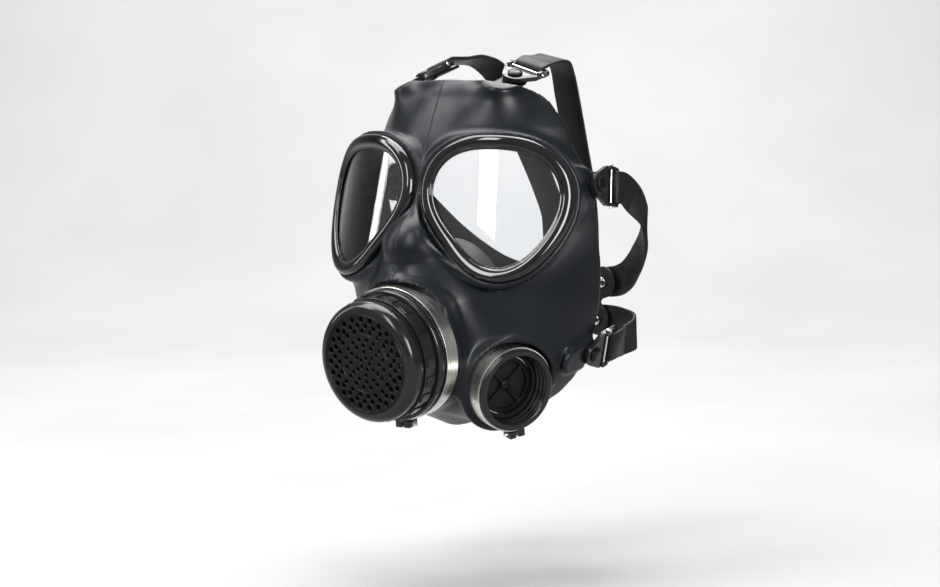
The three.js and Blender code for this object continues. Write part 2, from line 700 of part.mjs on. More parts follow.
// The two valve holes in the cup's cheeks, in the front unit's frame.
function cupValveFrame(side) {
  return basis([side * 35.2, 16, -47], [side, 0.12, 0.1], [0, 1, 0]);
}
function cupSeat(side) {
  const rim = turned([[5.4, -2.2], [7.3, -2.2], [7.3, 1.4], [5.4, 1.4]], 16);
  const bars = [box(-6, 6, -0.8, 0.8, -2.0, -0.4), box(-0.8, 0.8, -6, 6, -2.0, -0.4)];
  return place(join(rim, ...bars), cupValveFrame(side));
}
function cupDisc(side) {
  return place(cylinder(6.8, -3.4, -2.6, 16), cupValveFrame(side));
}

// ---- the object -----------------------------------------------------------------------------
const LOOKS = {
  face_rubber: { color: 0x14171b, roughness: 0.55, metalness: 0 },
  strap_rubber: { color: 0x101113, roughness: 0.6, metalness: 0 },
  inner_rubber: { color: 0x2a2c2e, roughness: 0.65, metalness: 0 },
  rim_plastic: { color: 0x08090a, roughness: 0.15, metalness: 0 },
  cap_plastic: { color: 0x0b0c0d, roughness: 0.3, metalness: 0 },
  buckle_plastic: { color: 0x0d0e0f, roughness: 0.35, metalness: 0 },
  steel: { color: 0xb8b6b0, roughness: 0.3, metalness: 1 },
  valve_rubber: { color: 0x3a3c3e, roughness: 0.6, metalness: 0 },
  foil: { color: 0x8d9094, roughness: 0.35, metalness: 0.6 },
  clear: { color: 0xe8eef0, roughness: 0.05, metalness: 0, transparent: true, opacity: 0.3 },
};

function meshOf(name, geometry, look) {
  const shape = geometry.clone();
  shape.computeVertexNormals();
  const mesh = new THREE.Mesh(shape, new THREE.MeshStandardMaterial(LOOKS[look]));
  mesh.name = name;
  return mesh;
}

function framed(matrix) {
  const group = new THREE.Group();
  group.applyMatrix4(matrix);
  return group;
}

const respirator = new THREE.Group();
const left = new THREE.Group();
const right = framed(MIRROR);
const frontUnit = framed(FRONT_FRAME);
const inletUnit = framed(INLET_FRAME);
respirator.add(left, right, frontUnit, inletUnit);

const put = (group, name, geometry, look) => group.add(meshOf(name, geometry, look));
const pair = (name, geometry, look) => {
  put(left, `${name}_left`, geometry, look);
  put(right, `${name}_right`, geometry, look);
};

put(respirator, 'facepiece', facepiece(), 'face_rubber');
pair('lens', lens(), 'clear');
pair('lens_rim', lensRim(), 'rim_plastic');

put(frontUnit, 'front_housing', frontHousing(), 'cap_plastic');
put(frontUnit, 'speech_diaphragm', turned([[0, 10.3], [17.1, 10.3], [17.1, 11], [12, 11],
  [11, 11.5], [0, 11.5]], 28), 'foil');
put(frontUnit, 'diaphragm_ring', turned([[14.4, 11.9], [17.1, 11.9], [17.1, 14], [14.4, 14]], 28),
  'cap_plastic');
put(frontUnit, 'exhalation_valve', turned([[19.6, 1.3], [28.6, 1.3], [28.6, 2.2], [19.6, 2.2]], 32),
  'valve_rubber');
put(frontUnit, 'bayonet_ring', castellatedRing(), 'cap_plastic');
put(frontUnit, 'perforated_cover', perforatedCover(), 'cap_plastic');
put(frontUnit, 'front_band', clampBand(38.6, ...FRONT_BAND), 'steel');
put(frontUnit, 'front_band_block', clampBlock(38.6, ...FRONT_BAND, -90), 'buckle_plastic');
put(frontUnit, 'front_band_screw', clampScrew(38.6, ...FRONT_BAND, -90), 'steel');
put(frontUnit, 'nose_cup', noseCup(), 'inner_rubber');
for (const [side, word] of [[1, 'left'], [-1, 'right']]) {
  put(frontUnit, `cup_valve_seat_${word}`, cupSeat(side), 'cap_plastic');
  put(frontUnit, `cup_valve_${word}`, cupDisc(side), 'valve_rubber');
}

put(inletUnit, 'inlet_socket', inletSocket(), 'cap_plastic');
put(inletUnit, 'inlet_gasket', turned([[17.6, -12.1], [19.9, -12.1], [19.9, -10.6], [17.6, -10.6]], 28),
  'valve_rubber');
put(inletUnit, 'inlet_valve_seat', inletSeat(), 'cap_plastic');
put(inletUnit, 'inhalation_valve', turned([[1.8, -16], [16.4, -16], [16.4, -15.1], [1.8, -15.1]], 24),
  'valve_rubber');
put(inletUnit, 'inlet_band', clampBand(24.5, ...INLET_BAND), 'steel');
put(inletUnit, 'inlet_band_block', clampBlock(24.5, ...INLET_BAND, -80), 'buckle_plastic');
put(inletUnit, 'inlet_band_screw', clampScrew(24.5, ...INLET_BAND, -80), 'steel');

let pad = headPad();
Object.keys(STATIONS).forEach((name, i) => {
  const frame = stationFrame(STATIONS[name]);
  const [x, z] = PAD_ARMS[i];
  pair(`${name}_stud`, place(stud(), frame), 'steel');
  pair(`${name}_buckle`, place(buckle(), frame), 'buckle_plastic');
  pair(`${name}_pin`, place(place(pin(), pinFrame()), frame), 'steel');
  pair(`${name}_strap`, cut(strap(name), rivetHole(x, z)), 'strap_rubber');
  pair(`${name}_rivet`, rivet(x, z), 'steel');
  pad = cut(pad, ...bothSides(rivetHole(x, z)));
});
put(respirator, 'head_pad', pad, 'strap_rubber');

export default respirator;
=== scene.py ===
import math
from contextlib import contextmanager

import bmesh
import bpy
import numpy as np
from mathutils import Matrix, Vector
from mathutils.geometry import delaunay_2d_cdt


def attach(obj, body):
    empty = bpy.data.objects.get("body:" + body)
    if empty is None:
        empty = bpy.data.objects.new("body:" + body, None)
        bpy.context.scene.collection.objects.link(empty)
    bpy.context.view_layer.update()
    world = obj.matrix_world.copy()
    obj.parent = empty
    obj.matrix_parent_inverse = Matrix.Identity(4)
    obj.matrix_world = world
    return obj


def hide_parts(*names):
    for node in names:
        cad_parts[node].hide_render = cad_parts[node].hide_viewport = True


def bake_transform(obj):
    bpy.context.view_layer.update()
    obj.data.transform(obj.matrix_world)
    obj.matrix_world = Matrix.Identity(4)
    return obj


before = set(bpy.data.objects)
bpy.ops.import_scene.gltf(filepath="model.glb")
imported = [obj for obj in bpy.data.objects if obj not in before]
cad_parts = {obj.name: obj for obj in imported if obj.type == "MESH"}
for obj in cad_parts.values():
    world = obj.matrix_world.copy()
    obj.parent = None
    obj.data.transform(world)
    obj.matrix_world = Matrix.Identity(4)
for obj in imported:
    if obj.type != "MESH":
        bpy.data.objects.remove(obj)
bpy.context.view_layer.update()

MM = 0.001
ROOT = "facepiece_body"

# ---- dimensions shared with the CAD model, in millimetres --------------------------------------
WALL = 2.8
LENS_CENTRE = (51.6, -105.6, 3.0)
LENS_YAW = 21.9
LENS_LEAN = 12.2
LENS_BEND = 118.0
RIM_HEIGHT = 5.0
FRONT_CENTRE = (0, -129.6, -80.8)
FRONT_AXIS = (0, -0.994, -0.109)
SNOUT_R = 38.3
INLET_CENTRE = (59, -94, -103.5)
INLET_AXIS = (0.934, -0.314, -0.172)
NECK_R = 24.2
FRONT_BAND = (-5.9, 3.85)
FRONT_BAND_R = 38.6
INLET_BAND = (-11.9, -2.3)
INLET_BAND_R = 24.5
THREAD_MAJOR_R = 20.4
THREAD_PITCH = 3.6
STRAP_WIDTH = 19.0
STRAP_THICK = 2.0
STRAP_TIP = 8.0
STRAP_CORNER = ((0, 0.35), (0.12, 0.12), (0.4, 0))
RIB_PITCH = 1.45

# Height, section middle, half-width, depth and squareness of the face.
BODY = np.array([
    (-134, -62, 4, 6, 2), (-128, -60, 16, 25, 2), (-118, -50, 46, 50, 2.1),
    (-105, -42, 62, 62, 2.2), (-90, -38, 72, 72, 2.3), (-65, -35, 77, 78, 2.6),
    (-40, -35, 78, 80, 2.8), (-15, -25, 79, 84, 2.5), (10, -10, 81, 96, 2.2),
    (35, 0, 83, 101, 2), (48, 0, 82, 96, 2), (64, 0, 74, 88, 2), (76, 0, 60, 80, 2),
    (95, 0, 25, 40, 2), (102, 0, 4, 8, 2)], float)
NOSE = [((0, -98, -4), 12), ((0, -108, -22), 22), ((0, -100, -45), 34)]
EDGE = [(-130, 100), (-81, 76.5), (-58, 66), (-55, 55), (-53, 47), (-52, 38), (-50, 31.5),
        (-48, 26), (-46, 18), (-43.5, 3), (-39.5, -14), (-36.5, -28), (-35, -42), (-36, -54),
        (-38, -65), (-41, -74), (-44, -82), (-46, -96), (-48, -105), (-51, -111), (-60, -119),
        (-74, -126), (-100, -150)]

STATIONS = {
    "top": dict(stud=(34, -58.5, 75.5), along=(0, 0.965, 0.26), out=(0.32, -0.25, 0.91), tail=8),
    "temple": dict(stud=(80.5, -42, 13), along=(0, 0.98, -0.18), out=(1, 0.02, 0.08), tail=11),
    "lower": dict(stud=(75, -43, -86), along=(0.05, 0.97, 0.24), out=(0.93, 0, -0.36), tail=11),
}
ROUTES = {
    "top": [((33, -26, 86), (0.2, 0, 1)), ((30, -12, 86), (0.2, 0.3, 1)),
            ((26, 0, 79), (0.2, 0.8, 0.6)), ((23, 9, 62), (0.1, 1, 0.4)),
            ((19, 22, 34), (0.1, 1, 0.4)), ((15, 34, 6), (0, 1, 0.3)),
            ((12.4, 40, -12), (0, 1, 0.15)), ((12, 41, -24), (0, 1, 0)),
            ((12, 41, -42), (0, 1, 0))],
    "temple": [((85, -13, 4), (1, 0, 0)), ((84, 1, -8), (1, 0.5, 0)),
               ((75, 13, -24), (0.8, 0.8, 0)), ((62, 23, -38), (0.6, 0.8, 0)),
               ((49, 31.5, -48), (0.5, 0.9, 0)), ((39, 36, -52), (0.3, 1, 0)),
               ((30, 38.1, -53), (0.23, 1, 0)), ((25, 39.2, -53), (0.2, 1, 0))],
    "lower": [((78, -14, -81.5), (1, 0.1, -0.2)), ((76, 0, -79.5), (1, 0.4, 0)),
              ((66, 13, -77.5), (0.7, 0.8, 0)), ((51, 25, -77), (0.6, 0.9, 0)),
              ((38, 34.5, -77), (0.4, 0.9, 0)), ((24, 39.2, -77), (0.19, 1, 0)),
              ((19, 40.1, -77), (0.15, 1, 0))],
}
PAD_ARMS = {"top": (12, -37), "temple": (30, -53), "lower": (24, -77)}
PAD_CENTRE_Z = -60
PAD_ARM_R = 10


# ---- frames ------------------------------------------------------------------------------------
def unit(v):
    v = np.asarray(v, float)
    return v / np.linalg.norm(v)


def framed(x, y, z, origin):
    """A 4x4 frame with the given axes and origin."""
    m = np.eye(4)
    m[:3] = np.column_stack([x, y, z, origin])
    return m


def basis(origin, axis, up=(0, 0, 1)):
    """A frame with its Z along axis and its Y as near up as it can be."""
    z = unit(axis)
    x = unit(np.cross(up, z))
    return framed(x, np.cross(z, x), z, origin)


def station_frame(name):
    s = STATIONS[name]
    x = unit(s["along"])
    y = unit(np.cross(s["out"], x))
    return framed(x, y, np.cross(x, y), s["stud"])


def rotated(degrees):
    """A turn about the Z axis."""
    c, s = math.cos(math.radians(degrees)), math.sin(math.radians(degrees))
    m = np.eye(4)
    m[:2, :2] = (c, -s), (s, c)
    return m


def cross_frame(x, z):
    """A frame at (x, 0, z) whose Z axis runs along Y."""
    return framed((0, 0, 1), (1, 0, 0), (0, 1, 0), (x, 0, z))


def polar(r, t):
    return r * math.cos(t), r * math.sin(t)


def moved(m, points):
    return np.asarray(points, float) @ m[:3, :3].T + m[:3, 3]


def to_local(m, x, y, z):
    """Coordinates of grid points in frame m, one array per axis."""
    p = [x - m[0, 3], y - m[1, 3], z - m[2, 3]]
    return [p[0] * m[0, k] + p[1] * m[1, k] + p[2] * m[2, k] for k in range(3)]


yaw, lean = math.radians(LENS_YAW), math.radians(LENS_LEAN)
LENS_FRAME = basis(LENS_CENTRE, (math.sin(yaw) * math.cos(lean), -math.cos(yaw) * math.cos(lean),
                                 math.sin(lean)))
FRONT = basis(FRONT_CENTRE, FRONT_AXIS)
INLET = basis(INLET_CENTRE, INLET_AXIS)


def rim_radius(t):
    return (43.9 + 0.9 * np.cos(t) + 2.9 * np.sin(t) + 1.3 * np.cos(2 * t) - 1.8 * np.sin(2 * t)
            - 0.25 * np.cos(3 * t) + 2.95 * np.sin(3 * t))


def lens_bow(u):
    return -u * u / (2 * LENS_BEND)


# ---- the face as a field: negative inside ------------------------------------------------------
def blend_min(a, b, k):
    h = np.maximum(k - np.abs(a - b), 0) / k
    return np.minimum(a, b) - h * h * k * 0.25


def blend_max(a, b, k):
    return -blend_min(-a, -b, k)


def smooth_rows(z):
    """The body table at heights z, by cubic Hermite steps."""
    zs = BODY[:, 0]
    i = np.clip(np.searchsorted(zs, z, side="right") - 1, 0, len(zs) - 2)
    h = zs[i + 1] - zs[i]
    t = np.clip((z - zs[i]) / h, 0, 1)
    lo, hi = np.maximum(np.arange(len(zs)) - 1, 0), np.minimum(np.arange(len(zs)) + 1, len(zs) - 1)
    slopes = (BODY[hi] - BODY[lo]) / (zs[hi] - zs[lo])[:, None]
    t2, t3 = t * t, t * t * t
    a, b = BODY[i].T, BODY[i + 1].T
    sa, sb = slopes[i].T, slopes[i + 1].T
    return ((2 * t3 - 3 * t2 + 1) * a + (t3 - 2 * t2 + t) * h * sa
            + (3 * t2 - 2 * t3) * b + (t3 - t2) * h * sb)


def body_field(x, y, z):
    _, y0, a, b, n = smooth_rows(z[0, 0, :])
    ax, ay = np.abs(x), np.abs(y - y0)
    s = ((ax / a) ** n + (ay / b) ** n) ** (1 / n)
    d = np.hypot(ax, ay) * (1 - 1 / np.maximum(s, 0.02))
    d = np.maximum(d, BODY[0, 0] + 1 - z)
    return np.maximum(d, z - BODY[-1, 0] + 1)


def lens_coords(x, y, z):
    u, v, w = to_local(LENS_FRAME, np.abs(x), y, z)
    angle = np.arctan2(v, u)
    return angle, w - lens_bow(u), np.hypot(u, v) - rim_radius(angle)


def tube(local, radius, low, high):
    r = np.hypot(local[0], local[1]) - radius
    return blend_max(blend_max(r, local[2] - high, 1), low - local[2], 1)


def nose_field(x, y, z):
    best = np.inf
    for (a, ra), (b, rb) in zip(NOSE, NOSE[1:]):
        a, ab = np.array(a, float), np.array(b, float) - np.array(a, float)
        t = ((x - a[0]) * ab[0] + (y - a[1]) * ab[1] + (z - a[2]) * ab[2]) / (ab @ ab)
        t = np.clip(t, 0, 1)
        d = np.sqrt((x - a[0] - t * ab[0]) ** 2 + (y - a[1] - t * ab[1]) ** 2
                    + (z - a[2] - t * ab[2]) ** 2) - (ra + (rb - ra) * t)
        best = np.minimum(best, d)
    return best


def edge_distance(y, z):
    """Signed distance in side view to the rear edge of the face: negative in front of it."""
    line = catmull(EDGE, 5)
    py, pz = np.broadcast_arrays(y[0, :, :], z[0, :, :])
    best, inside = np.full(py.shape, np.inf), np.zeros(py.shape, bool)
    # The edge, closed far in front of the face.
    ring = line + [np.array((-260.0, -150.0)), np.array((-260.0, 100.0))]
    for i, (a, b) in enumerate(zip(ring, ring[1:] + ring[:1])):
        if i < len(line) - 1:
            ab = b - a
            t = np.clip(((py - a[0]) * ab[0] + (pz - a[1]) * ab[1]) / (ab @ ab), 0, 1)
            best = np.minimum(best, np.hypot(py - a[0] - t * ab[0], pz - a[1] - t * ab[1]))
        crosses = (a[1] > pz) != (b[1] > pz)
        with np.errstate(divide="ignore", invalid="ignore"):
            at = a[0] + (pz - a[1]) * (b[0] - a[0]) / (b[1] - a[1])
        inside ^= crosses & (py < at)
    return np.where(inside, -best, best)[None, :, :]


def catmull(points, steps):
    """A smooth curve through points, steps samples to each span."""
    def between(a, b, ta, tb, s):
        return ((tb - s) * a + (s - ta) * b) / (tb - ta)

    points = [np.array(p, float) for p in points]
    p = [2 * points[0] - points[1]] + points + [2 * points[-1] - points[-2]]
    out = []
    for i in range(1, len(p) - 2):
        t = [0.0]
        for a, b in zip(p[i - 1:i + 2], p[i:i + 3]):
            t.append(t[-1] + max(np.linalg.norm(b - a), 1e-6) ** 0.5)
        for k in range(steps):
            s = t[1] + (t[2] - t[1]) * k / steps
            a = [between(p[i + n - 1], p[i + n], t[n], t[n + 1], s) for n in range(3)]
            b = [between(a[n], a[n + 1], t[n], t[n + 2], s) for n in range(2)]
            out.append(between(b[0], b[1], t[1], t[2], s))
    return out + points[-1:]


def tab_field(x, y, z, depth=3.2, names=tuple(STATIONS)):
    """The strap tabs: flat tongues of the given depth under each buckle."""
    best = np.inf
    for name in names:
        a, b, c = to_local(station_frame(name), np.abs(x), y, z)
        ax = np.clip(a, -STATIONS[name]["tail"] - 6, 0)
        d = np.hypot(a - ax, b) - 8.3
        d = blend_max(d, np.abs(c + depth / 2) - depth / 2, 1.6)
        best = np.minimum(best, d)
    return best


def levelled(d, x, y, z):
    """d divided by its slope, so that its levels near zero lie at true distances."""
    steps = [float(a.flat[1] - a.flat[0]) for a in (x[:, 0, 0], y[0, :, 0], z[0, 0, :])]
    slope = np.sqrt(sum(g * g for g in np.gradient(d, *steps)))
    return d / np.clip(slope, 0.35, 1.6)


def ring_field(local, radius, half, middle, reach, soft=1e-6):
    """A ring round local's axis: radius and height, each give or take, with softened edges."""
    r, z = np.hypot(local[0], local[1]), local[2]
    return blend_max(np.abs(r - radius) - half, np.abs(z - middle) - reach, soft)


def outer_field(x, y, z, front, inlet, w, rim):
    """The outside of the face: head, nose, eye cups, snout and socket neck run together."""
    cup = np.maximum(blend_max((rim - 1.2) * 0.95, w + RIM_HEIGHT + 0.6, 2.0), -w - 48)
    d = blend_min(body_field(x, y, z), nose_field(x, y, z), 14)
    d = blend_min(d, cup, 8)
    d = blend_min(d, tube(front, SNOUT_R - 0.4, -75, 0), 16)
    return blend_min(d, tube(inlet, NECK_R + 1.8, -34, -12), 9)


def cleared(d, front, inlet, w, rim):
    """d cut clear in front of the bands and the lenses, and the walls that close each cut."""
    walls = np.minimum(ring_field(front, 41, 3.4, -1, 13), ring_field(inlet, 27.2, 2.8, -6, 12.5))
    walls = np.maximum(walls, d)
    for room in (tube(front, 42, FRONT_BAND[0] - 0.9, 40),
                 tube(inlet, 27.2, INLET_BAND[0] - 1.3, 20)):
        d, walls = blend_max(d, -room, 1.0), blend_max(walls, -room, 1.0)
    seat = np.maximum(rim - 2.6, -(w + RIM_HEIGHT + 0.4))
    d = blend_max(d, -seat, 0.8)
    return d, np.minimum(walls, np.maximum(d, seat - WALL))


def buckle_room(x, y, z):
    """Room for each stud's shank and head, and for its buckle to swing."""
    room = np.inf
    for name in STATIONS:
        a, b, c = to_local(station_frame(name), np.abs(x), y, z)
        shank = np.maximum(np.hypot(a, b) - 2.7, np.abs(c) - 9)
        head = np.maximum(np.hypot(a, b) - 5.0, np.abs(c + 6.4) - 3)
        swing = np.where(a < 0, np.hypot(a, b) - 9.5, np.abs(b) - np.minimum(9.5 + 0.9 * a, 17))
        swing = np.maximum(np.maximum(swing, a - 26), np.abs(c - 5.1) - 5)
        room = np.minimum(room, np.minimum(swing, np.minimum(shank, head)))
    return room


def face_field(x, y, z):
    front, inlet = to_local(FRONT, x, y, z), to_local(INLET, x, y, z)
    angle, w, rim = lens_coords(x, y, z)
    d = outer_field(x, y, z, front, inlet, w, rim)
    outside = levelled(d, x, y, z)
    inner = outside + WALL
    d, walls = cleared(d, front, inlet, w, rim)
    shell = blend_min(blend_max(d, -inner, 0.8), walls, 1.5)
    # Under the top tabs the skin is built up to meet them.
    boss = np.maximum(np.maximum(tab_field(x, y, z, 15, ("top",)), outside - 6), -inner)
    shell = blend_min(shell, boss, 16)
    # Lens seat: a flange behind the rim, wider toward the nose, and a raised lip round it.
    toward_nose = np.maximum(np.cos(angle - math.radians(200)), 0) ** 0.7
    flange_mid, flange_half = -3.0 + 2.4 * toward_nose, 4.2 + 2.4 * toward_nose
    flange = blend_max(np.abs(rim - flange_mid) - flange_half, np.abs(w + 7.4) - 1.9, 1.0)
    lip = np.hypot(rim - 1.4, w + 5.3) - 1.15
    shell = blend_min(blend_min(shell, flange, 2.0), lip, 1.6)
    shell = blend_min(shell, np.maximum(tab_field(x, y, z), -y - 90), 5)
    # Sleeves for the two clamp bands, with a bead behind the front one and a collar behind
    # the inlet's.
    bead = np.hypot(np.hypot(front[0], front[1]) - 37.9, front[2] + 8.7) - 1.5
    for part, blend in ((ring_field(front, 36.9, 1.4, -7.2, 11.8, 0.8), 2.0), (bead, 1.2),
                        (ring_field(inlet, 23.4, 0.8, -10.6, 8.3, 0.6), 2.0),
                        (ring_field(inlet, 26.5, 2.5, -16.9, 2.8, 2.2), 2.0)):
        shell = blend_min(shell, part, blend)
    # Openings for the lenses, the front unit, the socket and the harness.
    shell = blend_max(shell, -(rim + 7.0) - np.maximum(0, -w - 26), 0.8)
    shell = blend_max(shell, -tube(front, 35.5, -30, 60), 0.6)
    shell = blend_max(shell, -tube(inlet, 22.6, -26, 40), 0.6)
    shell = np.maximum(shell, -buckle_room(x, y, z))
    # The rear edge, past which only the tabs reach.
    return blend_max(shell, np.minimum(edge_distance(y, z), tab_field(x, y, z) + 0.4), 1.2)


def surface_nets(field, low, high, step):
    """The zero surface of field in a box, as a smooth quad mesh."""
    axes = [np.arange(a, b + step, step) for a, b in zip(low, high)]
    x, y, z = axes[0][:, None, None], axes[1][None, :, None], axes[2][None, None, :]
    f = np.asarray(field(*np.broadcast_arrays(x, y, z)), np.float32)
    inside = f < 0
    n = [len(a) for a in axes]
    total = np.zeros([k - 1 for k in n], np.int8)
    corners = [(i, j, k) for i in (0, 1) for j in (0, 1) for k in (0, 1)]
    for i, j, k in corners:
        total += inside[i:n[0] - 1 + i, j:n[1] - 1 + j, k:n[2] - 1 + k]
    cells = np.argwhere((total > 0) & (total < 8))
    ids = np.full(total.shape, -1, np.int64)
    ids[tuple(cells.T)] = np.arange(len(cells))
    acc, count = np.zeros((len(cells), 3)), np.zeros(len(cells))
    for a in corners:
        for axis in range(3):
            if a[axis]:
                continue
            b = list(a)
            b[axis] = 1
            fa, fb = f[tuple((cells + a).T)], f[tuple((cells + b).T)]
            hit = (fa < 0) != (fb < 0)
            t = np.where(hit, fa / np.where(hit, fa - fb, 1), 0)
            p = np.array(a, float)[None, :].repeat(len(cells), 0)
            p[:, axis] += t
            acc[hit] += p[hit]
            count[hit] += 1
    verts = (cells + acc / count[:, None]) * step + [a[0] for a in axes]
    faces = []
    for axis in range(3):
        o1, o2 = [(1, 2), (2, 0), (0, 1)][axis]
        lo = [slice(None)] * 3
        hi = [slice(None)] * 3
        lo[axis], hi[axis] = slice(0, -1), slice(1, None)
        a, b = inside[tuple(lo)], inside[tuple(hi)]
        at = np.argwhere(a != b)
        keep = (at[:, o1] > 0) & (at[:, o2] > 0) & (at[:, o1] < n[o1] - 1) & (at[:, o2] < n[o2] - 1)
        at = at[keep]
        flip = ~a[tuple(at.T)]
        quad = []
        for d1, d2 in ((-1, -1), (0, -1), (0, 0), (-1, 0)):
            c = at.copy()
            c[:, o1] += d1
            c[:, o2] += d2
            quad.append(ids[tuple(c.T)])
        quad = np.stack(quad, 1)
        quad[flip] = quad[flip][:, ::-1]
        faces.append(quad)
    return verts, np.concatenate(faces)


# ---- mesh helpers ------------------------------------------------------------------------------
@contextmanager
def edited(me):
    """Mesh me as a bmesh, written back at the end."""
    bm = bmesh.new()
    bm.from_mesh(me)
    yield bm
    bm.to_mesh(me)
    bm.free()


def make_mesh(verts, faces, smooth=True):
    """A closed mesh in metres from points in millimetres, its faces turned outwards."""
    me = bpy.data.meshes.new("shape")
    me.from_pydata([tuple(v) for v in np.asarray(verts, float) * MM], [],
                   [tuple(int(i) for i in f) for f in faces])
    me.update()
    with edited(me) as bm:
        bmesh.ops.remove_doubles(bm, verts=bm.verts, dist=1e-7)
        bmesh.ops.recalc_face_normals(bm, faces=bm.faces)
        if bm.calc_volume(signed=True) < 0:
            bmesh.ops.reverse_faces(bm, faces=bm.faces)
        for face in bm.faces:
            face.smooth = smooth
    return me


def sharpen(me, degrees=38):
    """Edges that turn more than this stay crisp under smooth shading."""
    limit = math.radians(degrees)
    with edited(me) as bm:
        for e in bm.edges:
            e.smooth = len(e.link_faces) == 2 and e.calc_face_angle(0) < limit


def metres(m):
    """Frame m, whose origin is in millimetres, as a Blender matrix in metres."""
    m = m.copy()
    m[:3, 3] *= MM
    return Matrix(m.tolist())


def linked(name, data):
    ob = bpy.data.objects.new(name, data)
    bpy.context.scene.collection.objects.link(ob)
    return ob


def dressed(name, me, look, crisp):
    """The object of mesh me in the look named, with edges over crisp degrees kept sharp."""
    if crisp:
        sharpen(me, crisp)
    me.name = name
    me.materials.clear()
    me.materials.append(LOOKS[look])
    return linked(name, me)


def add_piece(name, me, slot, node=None, local=None, body=ROOT, look=None, crisp=38):
    """A piece on a body, in the look of its slot, that stands for a CAD node if one is given."""
    ob = dressed(name, me, look or slot, crisp)
    if local is not None:
        ob.matrix_world = metres(local)
    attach(ob, body)
    if node:
        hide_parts(node)


def refine(node, me, slot, local=None, **rest):
    """The fine piece that replaces a CAD node."""
    add_piece(f"{node}_fine", me, slot, node, local, **rest)


def loft(rings, loop=False):
    """Skin over rings of points: closed on itself with loop, else with a cap at each end."""
    m = len(rings[0])
    verts = [p for ring in rings for p in ring]
    faces = []
    count = len(rings) if loop else len(rings) - 1
    for i in range(count):
        j = (i + 1) % len(rings)
        for k in range(m):
            n = (k + 1) % m
            faces.append((i * m + k, i * m + n, j * m + n, j * m + k))
    if not loop:
        faces.append(tuple(range(m - 1, -1, -1)))
        faces.append(tuple((len(rings) - 1) * m + k for k in range(m)))
    return verts, faces


def rounded(profile, radius, steps=3):
    """A closed outline with its corners rounded, but for those on the axis."""
    out = []
    n = len(profile)
    for i, p in enumerate(profile):
        p = np.array(p, float)
        a, b = np.array(profile[i - 1], float), np.array(profile[(i + 1) % n], float)
        if p[0] == 0:
            out.append(tuple(p))
            continue
        r = min(radius, 0.45 * np.linalg.norm(a - p), 0.45 * np.linalg.norm(b - p))
        p0, p1 = p + unit(a - p) * r, p + unit(b - p) * r
        for k in range(steps + 1):
            t = k / steps
            out.append(tuple((1 - t) ** 2 * p0 + 2 * t * (1 - t) * p + t * t * p1))
    return out


def lathe(profile, segments=128):
    rings = []
    for i in range(segments):
        t = 2 * math.pi * i / segments
        rings.append([(*polar(r, t), z) for r, z in profile])
    return loft(rings, loop=True)


def lathe_mesh(profile, radius=0.3, segments=128):
    return make_mesh(*lathe(rounded(profile, radius), segments))


def mirror_points(verts):
    return np.array(verts, float) * (-1, 1, 1)


SIDES = (("left", False), ("right", True))


def placed(m, shape):
    """A (verts, faces) shape put in frame m."""
    return moved(m, shape[0]), shape[1]


def prism(outline, low, high):
    n = len(outline)
    verts = [(x, y, low) for x, y in outline] + [(x, y, high) for x, y in outline]
    faces = [tuple(range(n - 1, -1, -1)), tuple(range(n, 2 * n))]
    faces += [(i, (i + 1) % n, n + (i + 1) % n, n + i) for i in range(n)]
    return verts, faces


def box(x0, x1, y0, y1, z0, z1):
    return prism([(x0, y0), (x1, y0), (x1, y1), (x0, y1)], z0, z1)


def circle(r, n=32, cx=0.0, cy=0.0):
    points = [polar(r, 2 * math.pi * i / n) for i in range(n)]
    return [(cx + x, cy + y) for x, y in points]


def rod(r, low, high, n=24):
    return prism(circle(r, n), low, high)


def carved(base, cuts=(), joins=(), bevel=0.35, segments=2):
    """base with solids joined and cut, and its edges softened; all are (verts, faces) in mm."""
    ob = linked("temp", make_mesh(*base, smooth=False))
    helpers = []
    for shape, op in [(j, "UNION") for j in joins] + [(c, "DIFFERENCE") for c in cuts]:
        other = linked("temp", make_mesh(*shape, smooth=False))
        helpers.append(other)
        mod = ob.modifiers.new(op, "BOOLEAN")
        mod.operation, mod.object, mod.solver = op, other, "EXACT"
    if bevel:
        mod = ob.modifiers.new("soft", "BEVEL")
        mod.width, mod.segments = bevel * MM, segments
        mod.limit_method, mod.angle_limit = "ANGLE", math.radians(35)
        mod.use_clamp_overlap = True
    graph = bpy.context.evaluated_depsgraph_get()
    me = bpy.data.meshes.new_from_object(ob.evaluated_get(graph))
    for other in helpers + [ob]:
        bpy.data.objects.remove(other, do_unlink=True)
    for p in me.polygons:
        p.use_smooth = True
    return me


def transformed(me, m, mirror=False):
    """A copy of mesh me put in frame m, mirrored across X if asked."""
    me = me.copy()
    me.transform(metres(np.diag([-1.0, 1, 1, 1]) @ m if mirror else m))
    if mirror:
        me.flip_normals()
    return me


